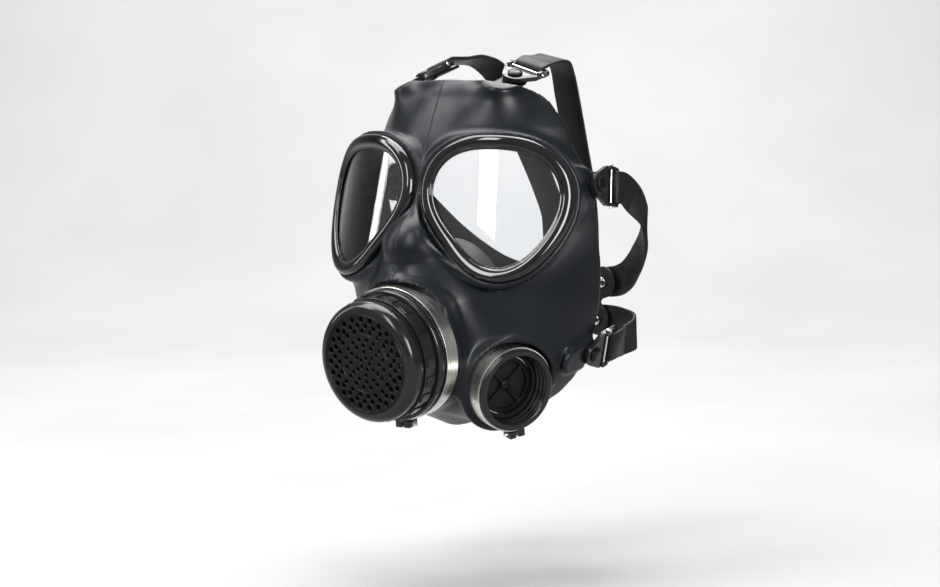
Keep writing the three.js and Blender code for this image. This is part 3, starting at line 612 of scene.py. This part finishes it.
# ---- materials ---------------------------------------------------------------------------------
class Look:
    """A procedural material, built on a Principled shader and object coordinates."""

    def __init__(self, name):
        self.name, self.mat = name, bpy.data.materials.new(name)
        self.mat.use_nodes = True
        self.nodes, self.links = self.mat.node_tree.nodes, self.mat.node_tree.links
        self.shader = self.nodes["Principled BSDF"]
        self.coords = self.nodes.new("ShaderNodeTexCoord").outputs["Object"]
        self.normal = None

    def node(self, kind, **values):
        """A node with its inputs set; an underscore in a name stands for a space."""
        node = self.nodes.new("ShaderNode" + kind)
        for key, value in values.items():
            node.inputs[key.replace("_", " ")].default_value = value
        return node

    def set(self, **values):
        for key, value in values.items():
            self.shader.inputs[key.replace("_", " ")].default_value = value

    def noise(self, scale, detail, roughness=0.55, stretch=None):
        tex = self.node("TexNoise", Scale=scale, Detail=detail, Roughness=roughness)
        source = self.coords
        if stretch:
            mapping = self.node("Mapping", Scale=stretch)
            self.links.new(source, mapping.inputs["Vector"])
            source = mapping.outputs["Vector"]
        self.links.new(source, tex.inputs["Vector"])
        return tex.outputs["Fac"]

    def colour(self, fac, low, high, start=0.35, end=0.65):
        ramp = self.node("ValToRGB")
        for stop, place, tint in zip(ramp.color_ramp.elements, (start, end), (low, high)):
            stop.position, stop.color = place, (*tint, 1)
        self.links.new(fac, ramp.inputs["Fac"])
        self.links.new(ramp.outputs["Color"], self.shader.inputs["Base Color"])

    def span(self, fac, low, high, start=0.3, end=0.7):
        m = self.node("MapRange", From_Min=start, From_Max=end, To_Min=low, To_Max=high)
        self.links.new(fac, m.inputs["Value"])
        return m.outputs["Result"]

    def rough(self, fac, low, high):
        self.links.new(self.span(fac, low, high), self.shader.inputs["Roughness"])

    def bump(self, height, strength, distance):
        """A bump on top of the earlier ones."""
        b = self.node("Bump", Strength=strength, Distance=distance)
        self.links.new(height, b.inputs["Height"])
        if self.normal is not None:
            self.links.new(self.normal, b.inputs["Normal"])
        self.normal = b.outputs["Normal"]
        self.links.new(self.normal, self.shader.inputs["Normal"])


def rubber(name, dark, light, rough=(0.5, 0.65), grain=0.1, spec=0.5):
    look = Look(name)
    look.colour(look.noise(22, 5), dark, light)
    look.rough(look.noise(60, 8), *rough)
    look.set(Specular_IOR_Level=spec)
    look.bump(look.noise(1600, 2), grain, 0.0002)
    look.bump(look.noise(90, 3), grain * 0.8, 0.0006)
    return look


def seamed(look, half_width=0.0007):
    """A fine mould line down the middle, where X is zero."""
    split, size = look.node("SeparateXYZ"), look.node("Math")
    look.links.new(look.coords, split.inputs["Vector"])
    size.operation = "ABSOLUTE"
    look.links.new(split.outputs["X"], size.inputs[0])
    look.bump(look.span(size.outputs[0], 1.0, 0.0, 0.0, half_width), 0.5, 0.0003)
    return look


def plastic(name, dark, light, rough, coat=0.0, grain=0.03, scale=900, spec=0.22):
    look = Look(name)
    look.colour(look.noise(30, 4), dark, light)
    look.rough(look.noise(120, 9, 0.7), *rough)
    look.set(Specular_IOR_Level=spec, Coat_Weight=coat, Coat_Roughness=0.06)
    look.bump(look.noise(scale, 3), grain, 0.0002)
    look.bump(look.noise(40, 2), grain, 0.0012)
    return look


def steel(name, dark, light, rough, stretch=None, brushed=0.25, scale=60):
    look = Look(name)
    streak = look.noise(scale, 8, 0.7, stretch)
    look.colour(streak, dark, light, 0.3, 0.7)
    look.rough(streak, *rough)
    look.set(Metallic=1.0)
    look.bump(streak, brushed, 0.0001)
    return look


def glass(name):
    look = Look(name)
    look.colour(look.noise(12, 3), (0.93, 0.96, 0.97), (0.98, 0.99, 1.0))
    look.rough(look.noise(70, 6), 0.0, 0.03)
    look.set(Transmission_Weight=1.0, IOR=1.45)
    look.bump(look.noise(18, 2), 0.04, 0.0004)
    return look


# All but two are named after the record's slots: blackened_steel, and the darker, less glossy copy
# of cap_plastic that paints shade on the grille disc and the valve seat.
LOOKS = {look.name: look.mat for look in (
    seamed(rubber("face_rubber", (0.0016, 0.0027, 0.0046), (0.0032, 0.0047, 0.0072), (0.27, 0.4),
                  0.12, 0.2)),
    rubber("strap_rubber", (0.003, 0.0032, 0.0036), (0.006, 0.0064, 0.007), (0.4, 0.55), 0.1, 0.2),
    rubber("inner_rubber", (0.014, 0.015, 0.017), (0.024, 0.025, 0.027)),
    rubber("valve_rubber", (0.003, 0.003, 0.0032), (0.006, 0.006, 0.0064), (0.5, 0.62), 0.08, 0.15),
    plastic("rim_plastic", (0.0025, 0.0027, 0.003), (0.005, 0.0053, 0.006), (0.07, 0.13), 0.4),
    plastic("cap_plastic", (0.004, 0.0042, 0.0046), (0.008, 0.0083, 0.009), (0.16, 0.26), 0.15),
    # A darker, less glossy copy of cap_plastic: painted shade, for the grille disc and for the
    # valve seat deep in the socket.
    plastic("cap_plastic_painted_shade", (0.003, 0.0031, 0.0034), (0.006, 0.0062, 0.0066), (0.24, 0.36), 0.0,
            0.12, 1400, 0.1),
    plastic("buckle_plastic", (0.004, 0.0042, 0.0045), (0.01, 0.0104, 0.011), (0.2, 0.32), 0.1),
    steel("brushed_band", (0.42, 0.41, 0.38), (0.75, 0.73, 0.68), (0.2, 0.36), (6, 6, 260), 0.3, 4),
    steel("bright_steel", (0.55, 0.54, 0.5), (0.82, 0.8, 0.75), (0.12, 0.25), None, 0.12, 180),
    steel("blackened_steel", (0.012, 0.012, 0.0125), (0.03, 0.03, 0.031), (0.3, 0.45)),
    steel("diaphragm_foil", (0.3, 0.3, 0.31), (0.5, 0.5, 0.52), (0.3, 0.42), None, 0.2, 120),
    glass("clear_lens"))}

# ---- facepiece ---------------------------------------------------------------------------------
def largest_part(me):
    """Drops loose crumbs: keeps the connected part with the most points."""
    with edited(me) as bm:
        seen, best = set(), []
        for v in bm.verts:
            if v in seen:
                continue
            stack, part = [v], []
            seen.add(v)
            while stack:
                q = stack.pop()
                part.append(q)
                for o in [e.other_vert(q) for e in q.link_edges]:
                    if o not in seen:
                        seen.add(o)
                        stack.append(o)
            if len(part) > len(best):
                best = part
        keep = set(best)
        bmesh.ops.delete(bm, geom=[v for v in bm.verts if v not in keep], context="VERTS")
    return me


def relaxed(me, factor=0.4, repeat=2):
    """me with the grid's unevenness smoothed out."""
    with edited(me) as bm:
        for _ in range(repeat):
            bmesh.ops.smooth_vert(bm, verts=bm.verts, factor=factor, use_axis_x=True,
                                  use_axis_y=True, use_axis_z=True)
    return me


STEP = 1.1
skin = surface_nets(face_field, (-98, -141, -134), (98, -24, 92), STEP)
add_piece("facepiece_skin", relaxed(largest_part(make_mesh(*skin))), "face_rubber", "facepiece",
          crisp=None)


# ---- lenses and rims ---------------------------------------------------------------------------
def rim_section():
    pts = [(0.35, -5), (0.0, -3.8), (0.0, -2.6), (0.5, -1.2), (1.6, -0.3), (3.0, 0.0), (4.5, -0.15),
           (5.9, -0.55), (6.9, -1.1), (7.3, -1.6), (7.5, -1.9), (8.0, -2.1), (8.5, -2.3),
           (8.6, -2.6), (8.35, -2.75), (3.9, -2.85), (3.7, -3.2), (3.7, -5)]
    return catmull(pts, 2)


def rim_rings(section, segments):
    rings = []
    for k in range(segments):
        t = 2 * math.pi * k / segments
        before, here, after = [np.array(polar(rim_radius(a), a)) for a in (t - 0.003, t, t + 0.003)]
        along = unit(after - before)
        ring = []
        for inset, h in section:
            u, v = here - np.array([along[1], -along[0]]) * inset
            ring.append((u, v, h + lens_bow(u)))
        rings.append(ring)
    return rings


def lens_shape(segments=96, rows=14):
    verts, faces = [], []
    for low in (-3.2, -5.2):
        for i in range(rows + 1):
            f = i / rows
            for k in range(segments):
                t = 2 * math.pi * k / segments
                u, v = polar((rim_radius(t) - 4.7) * max(f, 0.001), t)
                verts.append((u, v, low + lens_bow(u)))
    per, edge = (rows + 1) * segments, rows * segments
    for k in range(segments):
        n = (k + 1) % segments
        for side in (0, per):
            for a in range(side, side + edge, segments):
                quad = (a + k, a + n, a + segments + n, a + segments + k)
                faces.append(quad if side else quad[::-1])
        faces.append((edge + k, edge + n, per + edge + n, per + edge + k))
    faces += [tuple(range(a, a + segments)) for a in (0, per)]
    return verts, faces


WINDOW = [("lens_rim", loft(rim_rings(rim_section(), 240), loop=True), "rim_plastic", 60),
          ("lens", lens_shape(), "clear_lens", 40)]
for side, flip in SIDES:
    for part, shape, slot, crisp in WINDOW:
        verts, faces = placed(LENS_FRAME, shape)
        me = make_mesh(mirror_points(verts) if flip else verts, faces)
        refine(f"{part}_{side}", me, slot, crisp=crisp)

# ---- front unit --------------------------------------------------------------------------------
housing = lathe(rounded([
    (17.4, 14), (17.4, 10), (15.5, 10), (15.5, -2), (32.6, -2), (32.6, -14), (35.2, -14), (35.2, 5),
    (38.1, 5.2), (38.6, 5.8), (38.6, 8.6), (37.9, 9.5), (32.4, 9.5), (32.4, 16), (30.2, 16),
    (30.2, 1), (19.2, 1), (19.2, 14)], 0.4))


def sector(r0, r1, a0, a1, steps=14):
    turns = np.radians(np.linspace(a0, a1, steps + 1))
    return [polar(r1, t) for t in turns] + [polar(r0, t) for t in turns[::-1]]


windows = [prism(sector(20.8, 27.8, 60 * i + 6, 60 * i + 54), -5, 5) for i in range(6)]
refine("front_housing", carved(housing, windows, bevel=0), "cap_plastic", FRONT)

foil = lathe_mesh([(0, 10.3), (17.1, 10.3), (17.1, 11), (15, 11), (14, 11.35), (13, 11),
                   (11.5, 11), (10.5, 11.4), (9.5, 11), (8, 11), (7, 11.4), (6, 11), (0, 11)],
                  0.2, 96)
refine("speech_diaphragm", foil, "diaphragm_foil", FRONT)
ring = lathe(rounded([(14.4, 11.9), (17.1, 11.9), (17.1, 14), (14.4, 14)], 0.3), 96)
notches = [box(12, 19, -1, 1, 13, 15), box(-19, -12, -1, 1, 13, 15)]
refine("diaphragm_ring", carved(ring, notches, bevel=0), "cap_plastic", FRONT)
disc = lathe_mesh([(19.6, 1.3), (28.6, 1.3), (28.6, 2.0), (25, 2.2), (24, 1.9), (23, 2.2),
                   (19.6, 2.2)], 0.15)
refine("exhalation_valve", disc, "valve_rubber", FRONT, body="exhalation_valve_body")


def bayonet_ring():
    """A ring with raised grip pads; the section changes at each pad's sides."""
    pad = rounded([(34.8, 10), (36.2, 10), (36.2, 11.6), (37.0, 11.6), (37.0, 18.2), (36.2, 18.2),
                   (36.2, 19.5), (34.8, 19.5)], 0.25, 2)
    p = np.array(pad + pad[:1])
    length = np.concatenate([[0], np.cumsum(np.linalg.norm(np.diff(p, axis=0), axis=1))])
    at = np.linspace(0, length[-1], 97)[:-1]
    base = list(zip(np.interp(at, length, p[:, 0]), np.interp(at, length, p[:, 1])))
    # Between the pads the section is the same, with the pad pressed flat.
    flat = [(min(r, 36.2), z) for r, z in base]
    rings = []
    for i in range(20):
        for offset, raised in ((-4.6, 1), (-3, 1), (0, 1), (3, 1), (4.6, 1), (4.95, 0), (7, 0),
                               (9, 0), (11, 0), (13.05, 0)):
            t = math.radians(18 * i + offset)
            profile = base if raised else flat
            rings.append([(*polar(r, t), z) for r, z in profile])
    return loft(rings, loop=True)


refine("bayonet_ring", make_mesh(*bayonet_ring()), "cap_plastic", FRONT, body="bayonet_ring_body",
       crisp=30)

COVER_R, SHOULDER_Z = 35.5, 24.4
DISC_R, DISC_TOP, DISC_BOTTOM = 29.6, 30.4, 28.0
# Rings of holes in the cover: count, ring radius, hole radius, phase.
HOLES = [(24, 25.9, 1.6, 0.0), (24, 22.5, 1.45, 0.5), (20, 19.2, 1.35, 0.0), (16, 14.2, 1.2, 0.5),
         (12, 10.6, 1.2, 0.0), (6, 6.8, 1.2, 0.5), (5, 3.4, 1.1, 0.0)]


def grille():
    """The perforated disc: a plate with chamfered round holes and two raised circles."""
    top, bottom = DISC_TOP, DISC_BOTTOM
    verts2, height, edges = [], [], []

    def add_loop(points, z):
        start = len(verts2)
        for p in points:
            verts2.append(Vector(p))
            height.append(z)
        n = len(points)
        edges.extend((start + i, start + (i + 1) % n) for i in range(n))
        return range(start, start + n)

    outer = add_loop(circle(DISC_R, 160), top)
    for radius in (28.5, 17.0):
        for step, rise in ((0.3, 0), (0.1, 0.3), (-0.1, 0.3), (-0.3, 0)):
            add_loop(circle(radius + step, 160), top + rise)
    centres, hole_ids = [], []
    for count, radius, size, phase in HOLES:
        for i in range(count):
            t = 2 * math.pi * (i + phase) / count
            centres.append((*polar(radius, t), size))
            hole_ids.append(add_loop(circle(size + 0.35, 20, *centres[-1][:2]), top))
    out_v, _, out_f, orig, _, _ = delaunay_2d_cdt(verts2, edges, [], 0, 1e-6)
    where = {s: i for i, sources in enumerate(orig) for s in sources}
    verts = [(p.x, p.y, height[ids[0]] if ids else top) for p, ids in zip(out_v, orig)]
    cx, cy, sizes = np.array(centres).T
    faces = []
    for f in out_f:
        x, y = np.mean([verts[i][:2] for i in f], axis=0)
        if np.hypot(x, y) <= DISC_R and (np.hypot(cx - x, cy - y) >= sizes + 0.33).all():
            faces.append(tuple(f))
    n_top = len(verts)
    # The underside is the same plate, flat.
    verts += [(x, y, bottom) for x, y, _ in verts]
    faces += [tuple(n_top + i for i in reversed(f)) for f in faces]
    for ids, (cx, cy, size) in zip(hole_ids, centres):
        loop = [where[i] for i in ids]
        n = len(loop)
        start = len(verts)
        for z, r in ((top - 0.35, size), (bottom + 0.1, size)):
            verts += [(x, y, z) for x, y in circle(r, n, cx, cy)]
        levels = [loop, range(start, start + n), range(start + n, start + 2 * n),
                  [n_top + i for i in loop]]
        for up, low in zip(levels, levels[1:]):
            faces += [(up[i], up[i - 1], low[i - 1], low[i]) for i in range(n)]
    rim = [where[i] for i in outer]
    faces += [(a, b, n_top + b, n_top + a) for a, b in zip(rim, rim[1:] + rim[:1])]
    return verts, faces


def cover_shell():
    shoulder = [(DISC_R + (COVER_R - DISC_R) * math.cos(t),
                 SHOULDER_Z + (DISC_TOP - SHOULDER_Z) * math.sin(t))
                for t in np.linspace(0, math.pi / 2, 18)]
    profile = [(34.5, 11.5), (34.5, 19.6), (34.8, 19.95), (35.3, 20.1), (COVER_R, 20.5), *shoulder,
               (DISC_R, DISC_BOTTOM), (32.7, 24.5), (32.7, 11.5)]
    return lathe(profile, 160)


add_piece("perforated_cover_shell", make_mesh(*cover_shell()), "cap_plastic", "perforated_cover",
          FRONT, "cover_body", crisp=50)
# The grille disc is moulded in the cap's plastic; the darker, less glossy copy paints shade on its
# face.
add_piece("perforated_cover_disc", make_mesh(*grille()), "cap_plastic", None, FRONT, "cover_body",
          "cap_plastic_painted_shade", 25)


def band(node, radius, low, high, local):
    outer, ease = radius + 0.8, 0.15
    profile = [(radius, low), (outer - ease, low), (outer, low + ease),
               (outer - 0.04, (low + high) / 2), (outer, high - ease), (outer - ease, high),
               (radius, high)]
    refine(node, make_mesh(*lathe(profile, 180)), "brushed_band", local, crisp=25)


def clamp(node, radius, low, high, local, turn):
    """A band's clamp: two ears with a gap between them, and the screw that draws them together."""
    r = radius + 1.1
    across = cross_frame(r + 2.6, (low + high) / 2)
    ears = box(r + 0.5, r + 4.6, -5, 5, low + 1, high - 1)
    gap = box(r + 1.6, r + 7, -1, 1, low - 1, high + 1)
    block = carved(ears, [gap, placed(across, rod(1.1, -9, 9))], bevel=0.45)
    shank = lathe([(0, -6.4), (0.8, -6.4), (0.9, -6.2), (0.9, 5.2), (1.7, 5.2), (1.8, 5.4),
                   (1.8, 6.2), (1.5, 6.6), (0, 6.7)], 32)
    slit = placed(across, box(-3, 3, -0.3, 0.3, 6.2, 8))
    screw = carved(placed(across, shank), [slit], bevel=0)
    turned = local @ rotated(turn)
    refine(f"{node}_block", block, "buckle_plastic", turned)
    refine(f"{node}_screw", screw, "bright_steel", turned)


# Node, inner radius, low and high edge, frame, and the clamp's place round it in degrees.
BANDS = [("front_band", FRONT_BAND_R, *FRONT_BAND, FRONT, -90),
         ("inlet_band", INLET_BAND_R, *INLET_BAND, INLET, -80)]
for row in BANDS:
    band(*row[:-1])
for row in BANDS:
    clamp(*row)

# ---- filter socket -----------------------------------------------------------------------------
def socket():
    """A socket with a helical thread inside; the bore's radius follows the thread round."""
    segments = 144
    rings = []
    zs = np.linspace(-0.9, -12.2, 84)
    for i in range(segments):
        a = 2 * math.pi * i / segments
        outer = [(17.4, -12.4), (17.4, -18), (22.3, -18), (22.3, -2.2), (24.2, -2.1), (24.4, -1.8),
                 (24.4, -0.9), (24.2, -0.35), (23.6, -0.05), (23.2, 0), (21.4, 0), (21.0, -0.15)]
        inner = []
        for z in zs:
            phase = (-z / THREAD_PITCH - a / (2 * math.pi)) % 1.0
            tooth = max(0.0, min(1.0, 3.4 * (0.5 - abs(phase - 0.5)) - 0.35))
            fade = min(1.0, max(0.0, (-z - 1.1) / 1.2)) * min(1.0, max(0.0, (z + 12.0) / 1.0))
            inner.append((THREAD_MAJOR_R + 1.0 * tooth * fade, z))
        rings.append([(*polar(r, a), z) for r, z in outer + inner])
    return loft(rings, loop=True)


refine("inlet_socket", make_mesh(*socket()), "cap_plastic", INLET, crisp=45)
gasket = lathe_mesh([(17.6, -12.1), (19.9, -12.1), (19.9, -10.6), (17.6, -10.6)], 0.5, 96)
refine("inlet_gasket", gasket, "valve_rubber", INLET)
seat_ring = lathe(rounded([(14.6, -14.8), (17.1, -14.8), (17.1, -12.8), (14.6, -12.8)], 0.3), 96)
hub = lathe([(0, -19.6), (2.2, -19.6), (2.4, -19.3), (2.4, -18.9), (2.2, -18.7), (1.4, -18.7),
             (1.4, -14.8), (3.2, -14.8), (3.2, -12.6), (2.6, -12.0), (1.4, -11.7), (0, -11.6)], 48)
spokes = [placed(rotated(45 + 90 * i), box(2, 15.5, -1.1, 1.1, -14.6, -13)) for i in range(4)]
# The seat is the cap's plastic, given its darker copy: painted shade deep inside the socket.
refine("inlet_valve_seat", carved(seat_ring, joins=[hub] + spokes, bevel=0.2), "cap_plastic",
       INLET, look="cap_plastic_painted_shade")
flap = lathe_mesh([(1.8, -16), (16.4, -16), (16.4, -15.3), (14.5, -15.1), (1.8, -15.1)], 0.2, 96)
refine("inhalation_valve", flap, "valve_rubber", INLET, body="inhalation_valve_body")

# ---- nose cup ----------------------------------------------------------------------------------
# Height, half-width, half-depth and offset of the cup's sections.
CUP = [(-16, 25, 25, 0), (-23, 26, 26, 0), (-33, 32, 34, 2), (-45, 37, 43, 6), (-60, 37, 47, 9),
       (-68, 30, 43, 9)]


def cup_valve_frame(sign):
    return basis((sign * 35.2, 16, -47), (sign, 0.12, 0.1), (0, 1, 0))


def nose_cup(wall=2.0):
    """A cup with a rolled lip: the sections outside, round the lip and back inside."""
    rows = [tuple(row) for row in catmull(CUP, 6)]
    lip = rows[-1]
    outline = [(*row, 0.0) for row in rows]
    for t in np.linspace(0.4, math.pi - 0.4, 5):
        outline.append((lip[0] - 0.9 * math.sin(t), *lip[1:], wall / 2 * (1 - math.cos(t))))
    outline += [(*row, wall) for row in reversed(rows)]
    turns = [2 * math.pi * k / 120 for k in range(120)]
    return loft([[((a - inset) * math.cos(t), (b - inset) * math.sin(t) + d, s) for t in turns]
                 for s, a, b, d, inset in outline], loop=True)


ports = [placed(cup_valve_frame(sign), rod(7.55, -8, 8, 40)) for sign in (1, -1)]
refine("nose_cup", carved(nose_cup(), ports, bevel=0), "inner_rubber", FRONT)
for side, flip in SIDES:
    local = FRONT @ cup_valve_frame(-1 if flip else 1)
    rim = lathe(rounded([(5.4, -2.2), (7.3, -2.2), (7.3, 1.4), (5.4, 1.4)], 0.35), 64)
    bars = [box(-6, 6, -0.8, 0.8, -2.0, -0.4), box(-0.8, 0.8, -6, 6, -2.0, -0.4)]
    refine(f"cup_valve_seat_{side}", carved(rim, joins=bars, bevel=0.15), "cap_plastic", local)
    disc = lathe_mesh([(0, -3.4), (6.8, -3.4), (6.8, -2.8), (0, -2.6)], 0.2, 64)
    refine(f"cup_valve_{side}", disc, "valve_rubber", local, body=f"cup_valve_{side}_body")


# ---- harness -----------------------------------------------------------------------------------
PIN_FRAME = cross_frame(10.5, 2.6)


def buckle_mesh():
    """A plate with an eye for the stud, a window for the strap and ears for the cross pin."""
    outline = [(18, -10.5), (18, 10.5), (17.4, 11.4), (16.5, 11.7), (5.8, 11.7)]
    for i in range(19):
        outline.append(polar(7.3, math.radians(112 + 136 * i / 18)))
    outline += [(5.8, -11.7), (16.5, -11.7), (17.4, -11.4)]
    ears = [box(8.2, 12.8, -11.7, -10.0, 1, 4.4), box(8.2, 12.8, 10.0, 11.7, 1, 4.4)]
    window = box(11.9, 15.5, -9.9, 9.9, -1, 5)
    tray = box(6.8, 13, -9.9, 9.9, 1.3, 5)
    cuts = [window, tray, rod(3.0, -3, 6, 32), placed(PIN_FRAME, rod(1.35, -14, 14))]
    return carved(prism(outline, 0.3, 3.0), cuts, ears, bevel=0.45, segments=3)


BUCKLE_MESH = buckle_mesh()
PIN_MESH = make_mesh(*lathe([(0, -13.2), (0.5, -13.15), (0.7, -12.9), (0.7, 11.8), (0.95, 12.0),
                             (1.15, 12.4), (1.15, 12.8), (0.9, 13.15), (0, 13.25)], 40))
STUD_MESH = make_mesh(*lathe([(0, -5.0), (4.1, -5.0), (4.4, -4.7), (4.4, -3.7), (4.2, -3.5),
                              (2.6, -3.4), (2.6, 3.3), (4.2, 3.3), (4.5, 3.6), (4.4, 4.1),
                              (3.6, 4.7), (2.2, 5.0), (0, 5.1)], 48))
RIVET_MESH = make_mesh(*lathe([(0, -3.2), (2.6, -3.2), (3, -2.9), (2.8, -2.4), (1.2, -2.2),
                               (1.2, 5.5), (3, 5.5), (3.0, 5.8), (2.4, 6.3), (1.2, 6.6),
                               (0, 6.7)], 40))


def strap_line(name):
    """Fine points, face normals and running lengths along a strap, from its tail to the pad."""
    m = station_frame(name)
    x, z = m[:3, 0], m[:3, 2]
    # Round the buckle: along, out and the way the face looks, in degrees.
    wrap = [(25, -1.2, 180), (15.9, -1.0, 180), (14.5, -0.3, 225), (14.1, 1.2, 270),
            (14.1, 2.5, 270), (14.6, 3.9, 315), (15.9, 4.4, 360), (21, 4.6, 360)]
    keys = [(moved(m, (a, 0, c)), z * math.cos(math.radians(t)) + x * math.sin(math.radians(t)))
            for a, c, t in wrap]
    keys += [(np.array(p, float), unit(n)) for p, n in ROUTES[name]]
    per = 60
    points = np.array(catmull([point for point, _ in keys], per))
    normals = []
    for (_, a), (_, b) in zip(keys, keys[1:]):
        for k in range(per):
            f = k / per
            f = f * f * (3 - 2 * f)
            normals.append(a * (1 - f) + b * f)
    normals.append(keys[-1][1])
    length = np.concatenate([[0], np.cumsum(np.linalg.norm(np.diff(points, axis=0), axis=1))])
    at = np.arange(0, length[-1], RIB_PITCH / 4)
    points, normals = [np.stack([np.interp(at, length, a) for a in rows.T], 1)
                       for rows in (points, np.array(normals))]
    return points, normals, at, length[per * 6]


def strap_shape(name):
    points, normals, at, wrap_end = strap_line(name)
    total = at[-1]
    tangents = np.gradient(points, axis=0)
    rings = []
    for p, n, t, s in zip(points, normals, tangents, at):
        t = unit(t)
        across = unit(np.cross(n, t))
        face = np.cross(t, across)
        w = STRAP_WIDTH / 2
        if s > total - STRAP_TIP:
            w *= math.sqrt(max(1 - ((s - total + STRAP_TIP) / STRAP_TIP) ** 2, 0.02))
        if s < 3:
            w *= math.sqrt(max(1 - ((3 - s) / 3) ** 2 * 0.6, 0.02))
        fade = min(max((s - wrap_end - 12) / 4, 0), 1) * min(max((total - s - 24) / 4, 0), 1)
        rib = fade * (0.5 + 0.5 * math.cos(2 * math.pi * s / RIB_PITCH)) ** 0.8
        h = STRAP_THICK / 2
        top = h - 0.28 * fade + 0.5 * rib
        edge = w - 0.22 * fade + 0.22 * rib
        section = []
        for side, level in ((-1, -h), (1, top)):
            corner = [(edge - a, level - math.copysign(c, level)) for a, c in STRAP_CORNER]
            section += [(side * a, c) for a, c in corner] + [(0, level)]
            section += [(-side * a, c) for a, c in reversed(corner)]
        rings.append([p + across * a + face * c for a, c in section])
    return loft(rings)


def pad_y(x):
    return 37.8 - x * x / 260


def pad_field(x, y, z):
    """The head pad: arms run together, thinned to a curved sheet, with the rivets' holes."""
    d = np.inf
    for px, pz in PAD_ARMS.values():
        ax, az = px, pz - PAD_CENTRE_Z
        qx, qz = np.abs(x), z - PAD_CENTRE_Z
        t = np.clip((qx * ax + qz * az) / (ax * ax + az * az), 0, 1)
        d = blend_min(d, np.hypot(qx - t * ax, qz - t * az) - PAD_ARM_R + 0.1, 6)
    skin = np.abs(y - pad_y(x)) - 1.15
    d = blend_max(d, skin, 0.9)
    for px, pz in PAD_ARMS.values():
        hole = np.hypot(np.abs(x) - px, z - pz) - 1.5
        d = np.maximum(d, -hole)
    return d


pad = surface_nets(pad_field, (-44, 27, -91), (44, 42, -23), 0.7)
refine("head_pad", relaxed(make_mesh(*pad)), "strap_rubber", crisp=None)

for name in STATIONS:
    m = station_frame(name)
    verts, faces = strap_shape(name)
    px, pz = PAD_ARMS[name]
    rivet_frame = basis((px, pad_y(px), pz), (0, 1, 0))
    for side, flip in SIDES:
        body = f"{name}_buckle_{side}_body"
        refine(f"{name}_buckle_{side}", transformed(BUCKLE_MESH, m, flip), "buckle_plastic",
               body=body)
        refine(f"{name}_pin_{side}", transformed(PIN_MESH, m @ PIN_FRAME, flip), "bright_steel",
               body=f"{name}_pin_{side}_body")
        refine(f"{name}_stud_{side}", transformed(STUD_MESH, m, flip), "bright_steel",
               look="blackened_steel")
        refine(f"{name}_rivet_{side}", transformed(RIVET_MESH, rivet_frame, flip), "bright_steel")
        me = make_mesh(mirror_points(verts) if flip else verts, faces)
        strap = dressed(f"{name}_strap_{side}_fine", me, "strap_rubber", 50)
        start, end = moved(m, (20, 0, 4)), moved(m, (48, 0, 4))
        if flip:
            start, end = start * (-1, 1, 1), end * (-1, 1, 1)
        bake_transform(strap)
        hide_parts(f"{name}_strap_{side}")

# ---- floor, light and camera -------------------------------------------------------------------
FLOOR_Z = -0.215


def backdrop(half=8.0, curve=1.05, radius=0.9, top=3.0):
    """One smooth sweep: floor, curve and wall."""
    line = [(-half, 0)]
    for k in range(13):
        t = math.radians(90 * k / 12)
        line.append((curve + radius * math.sin(t), radius - radius * math.cos(t)))
    line.append((curve + radius, top))
    verts = [(x, y, z) for y, z in line for x in (-half, half)]
    faces = [(2 * i, 2 * i + 1, 2 * i + 3, 2 * i + 2) for i in range(len(line) - 1)]
    me = bpy.data.meshes.new("backdrop")
    me.from_pydata(verts, [], faces)
    for p in me.polygons:
        p.use_smooth = True
    ob = linked("backdrop", me)
    paper = Look("paper")
    paper.colour(paper.noise(3, 3), (0.27, 0.27, 0.274), (0.295, 0.295, 0.298))
    paper.set(Roughness=0.9)
    me.materials.append(paper.mat)
    ob.rotation_euler = (0, 0, math.radians(37))
    ob.location = (0, 0, FLOOR_Z)


backdrop()

# Where the camera stands, how it is turned off the head's centre, in degrees, and its lens in mm.
CAMERA = dict(az=37.06, el=3.53, distance=1.5, roll=-1.14, yaw=1.43, pitch=2.22, lens=92.9103)


def place_camera(az, el, distance, roll, yaw, pitch, lens):
    data = bpy.data.cameras.new("camera")
    data.sensor_width, data.lens = 36.0, lens
    ob = linked("camera", data)
    stand = Matrix.Translation((0, 0, distance))
    for angle, axis in ((90 - el, "X"), (az, "Z")):
        stand = Matrix.Rotation(math.radians(angle), 4, axis) @ stand
    for angle, axis in ((roll, "Z"), (yaw, "Y"), (-pitch, "X")):
        stand = stand @ Matrix.Rotation(math.radians(angle), 4, axis)
    ob.matrix_world = stand
    bpy.context.scene.camera = ob


place_camera(**CAMERA)


def softbox(name, location, target, size, power):
    data = bpy.data.lights.new(name, "AREA")
    data.shape, data.size, data.size_y = "RECTANGLE", size[0], size[1]
    data.energy = power
    ob = linked(name, data)
    ob.location = location
    ob.rotation_euler = (Vector(target) - Vector(location)).to_track_quat("-Z", "Y").to_euler()


softbox("overhead", (-0.25, 0.1, 1.3), (0.0, -0.05, 0.0), (1.5, 0.9), 46)
softbox("front", (0.06, -1.35, 0.8), (0, -0.08, 0.0), (0.3, 0.75), 13)
softbox("key", (-0.75, -0.75, 1.05), (0, -0.08, 0.02), (0.6, 0.6), 14)
softbox("left", (-1.5, -0.75, 0.5), (0, -0.1, 0), (0.15, 1.0), 6)
softbox("right", (1.4, -0.85, 0.42), (0.0, -0.05, 0.0), (0.55, 0.7), 29)
softbox("wall", (-0.82, 0.96, 1.5), (-1.07, 1.56, 0.2), (1.2, 0.5), 41)

world = bpy.data.worlds.new("studio")
bpy.context.scene.world = world
world.use_nodes = True
sky = world.node_tree.nodes["Background"].inputs
sky["Color"].default_value = (0.93, 0.94, 0.96, 1)
sky["Strength"].default_value = 0.5

scene = bpy.context.scene
scene.view_settings.view_transform = "Standard"
scene.view_settings.look = "None"
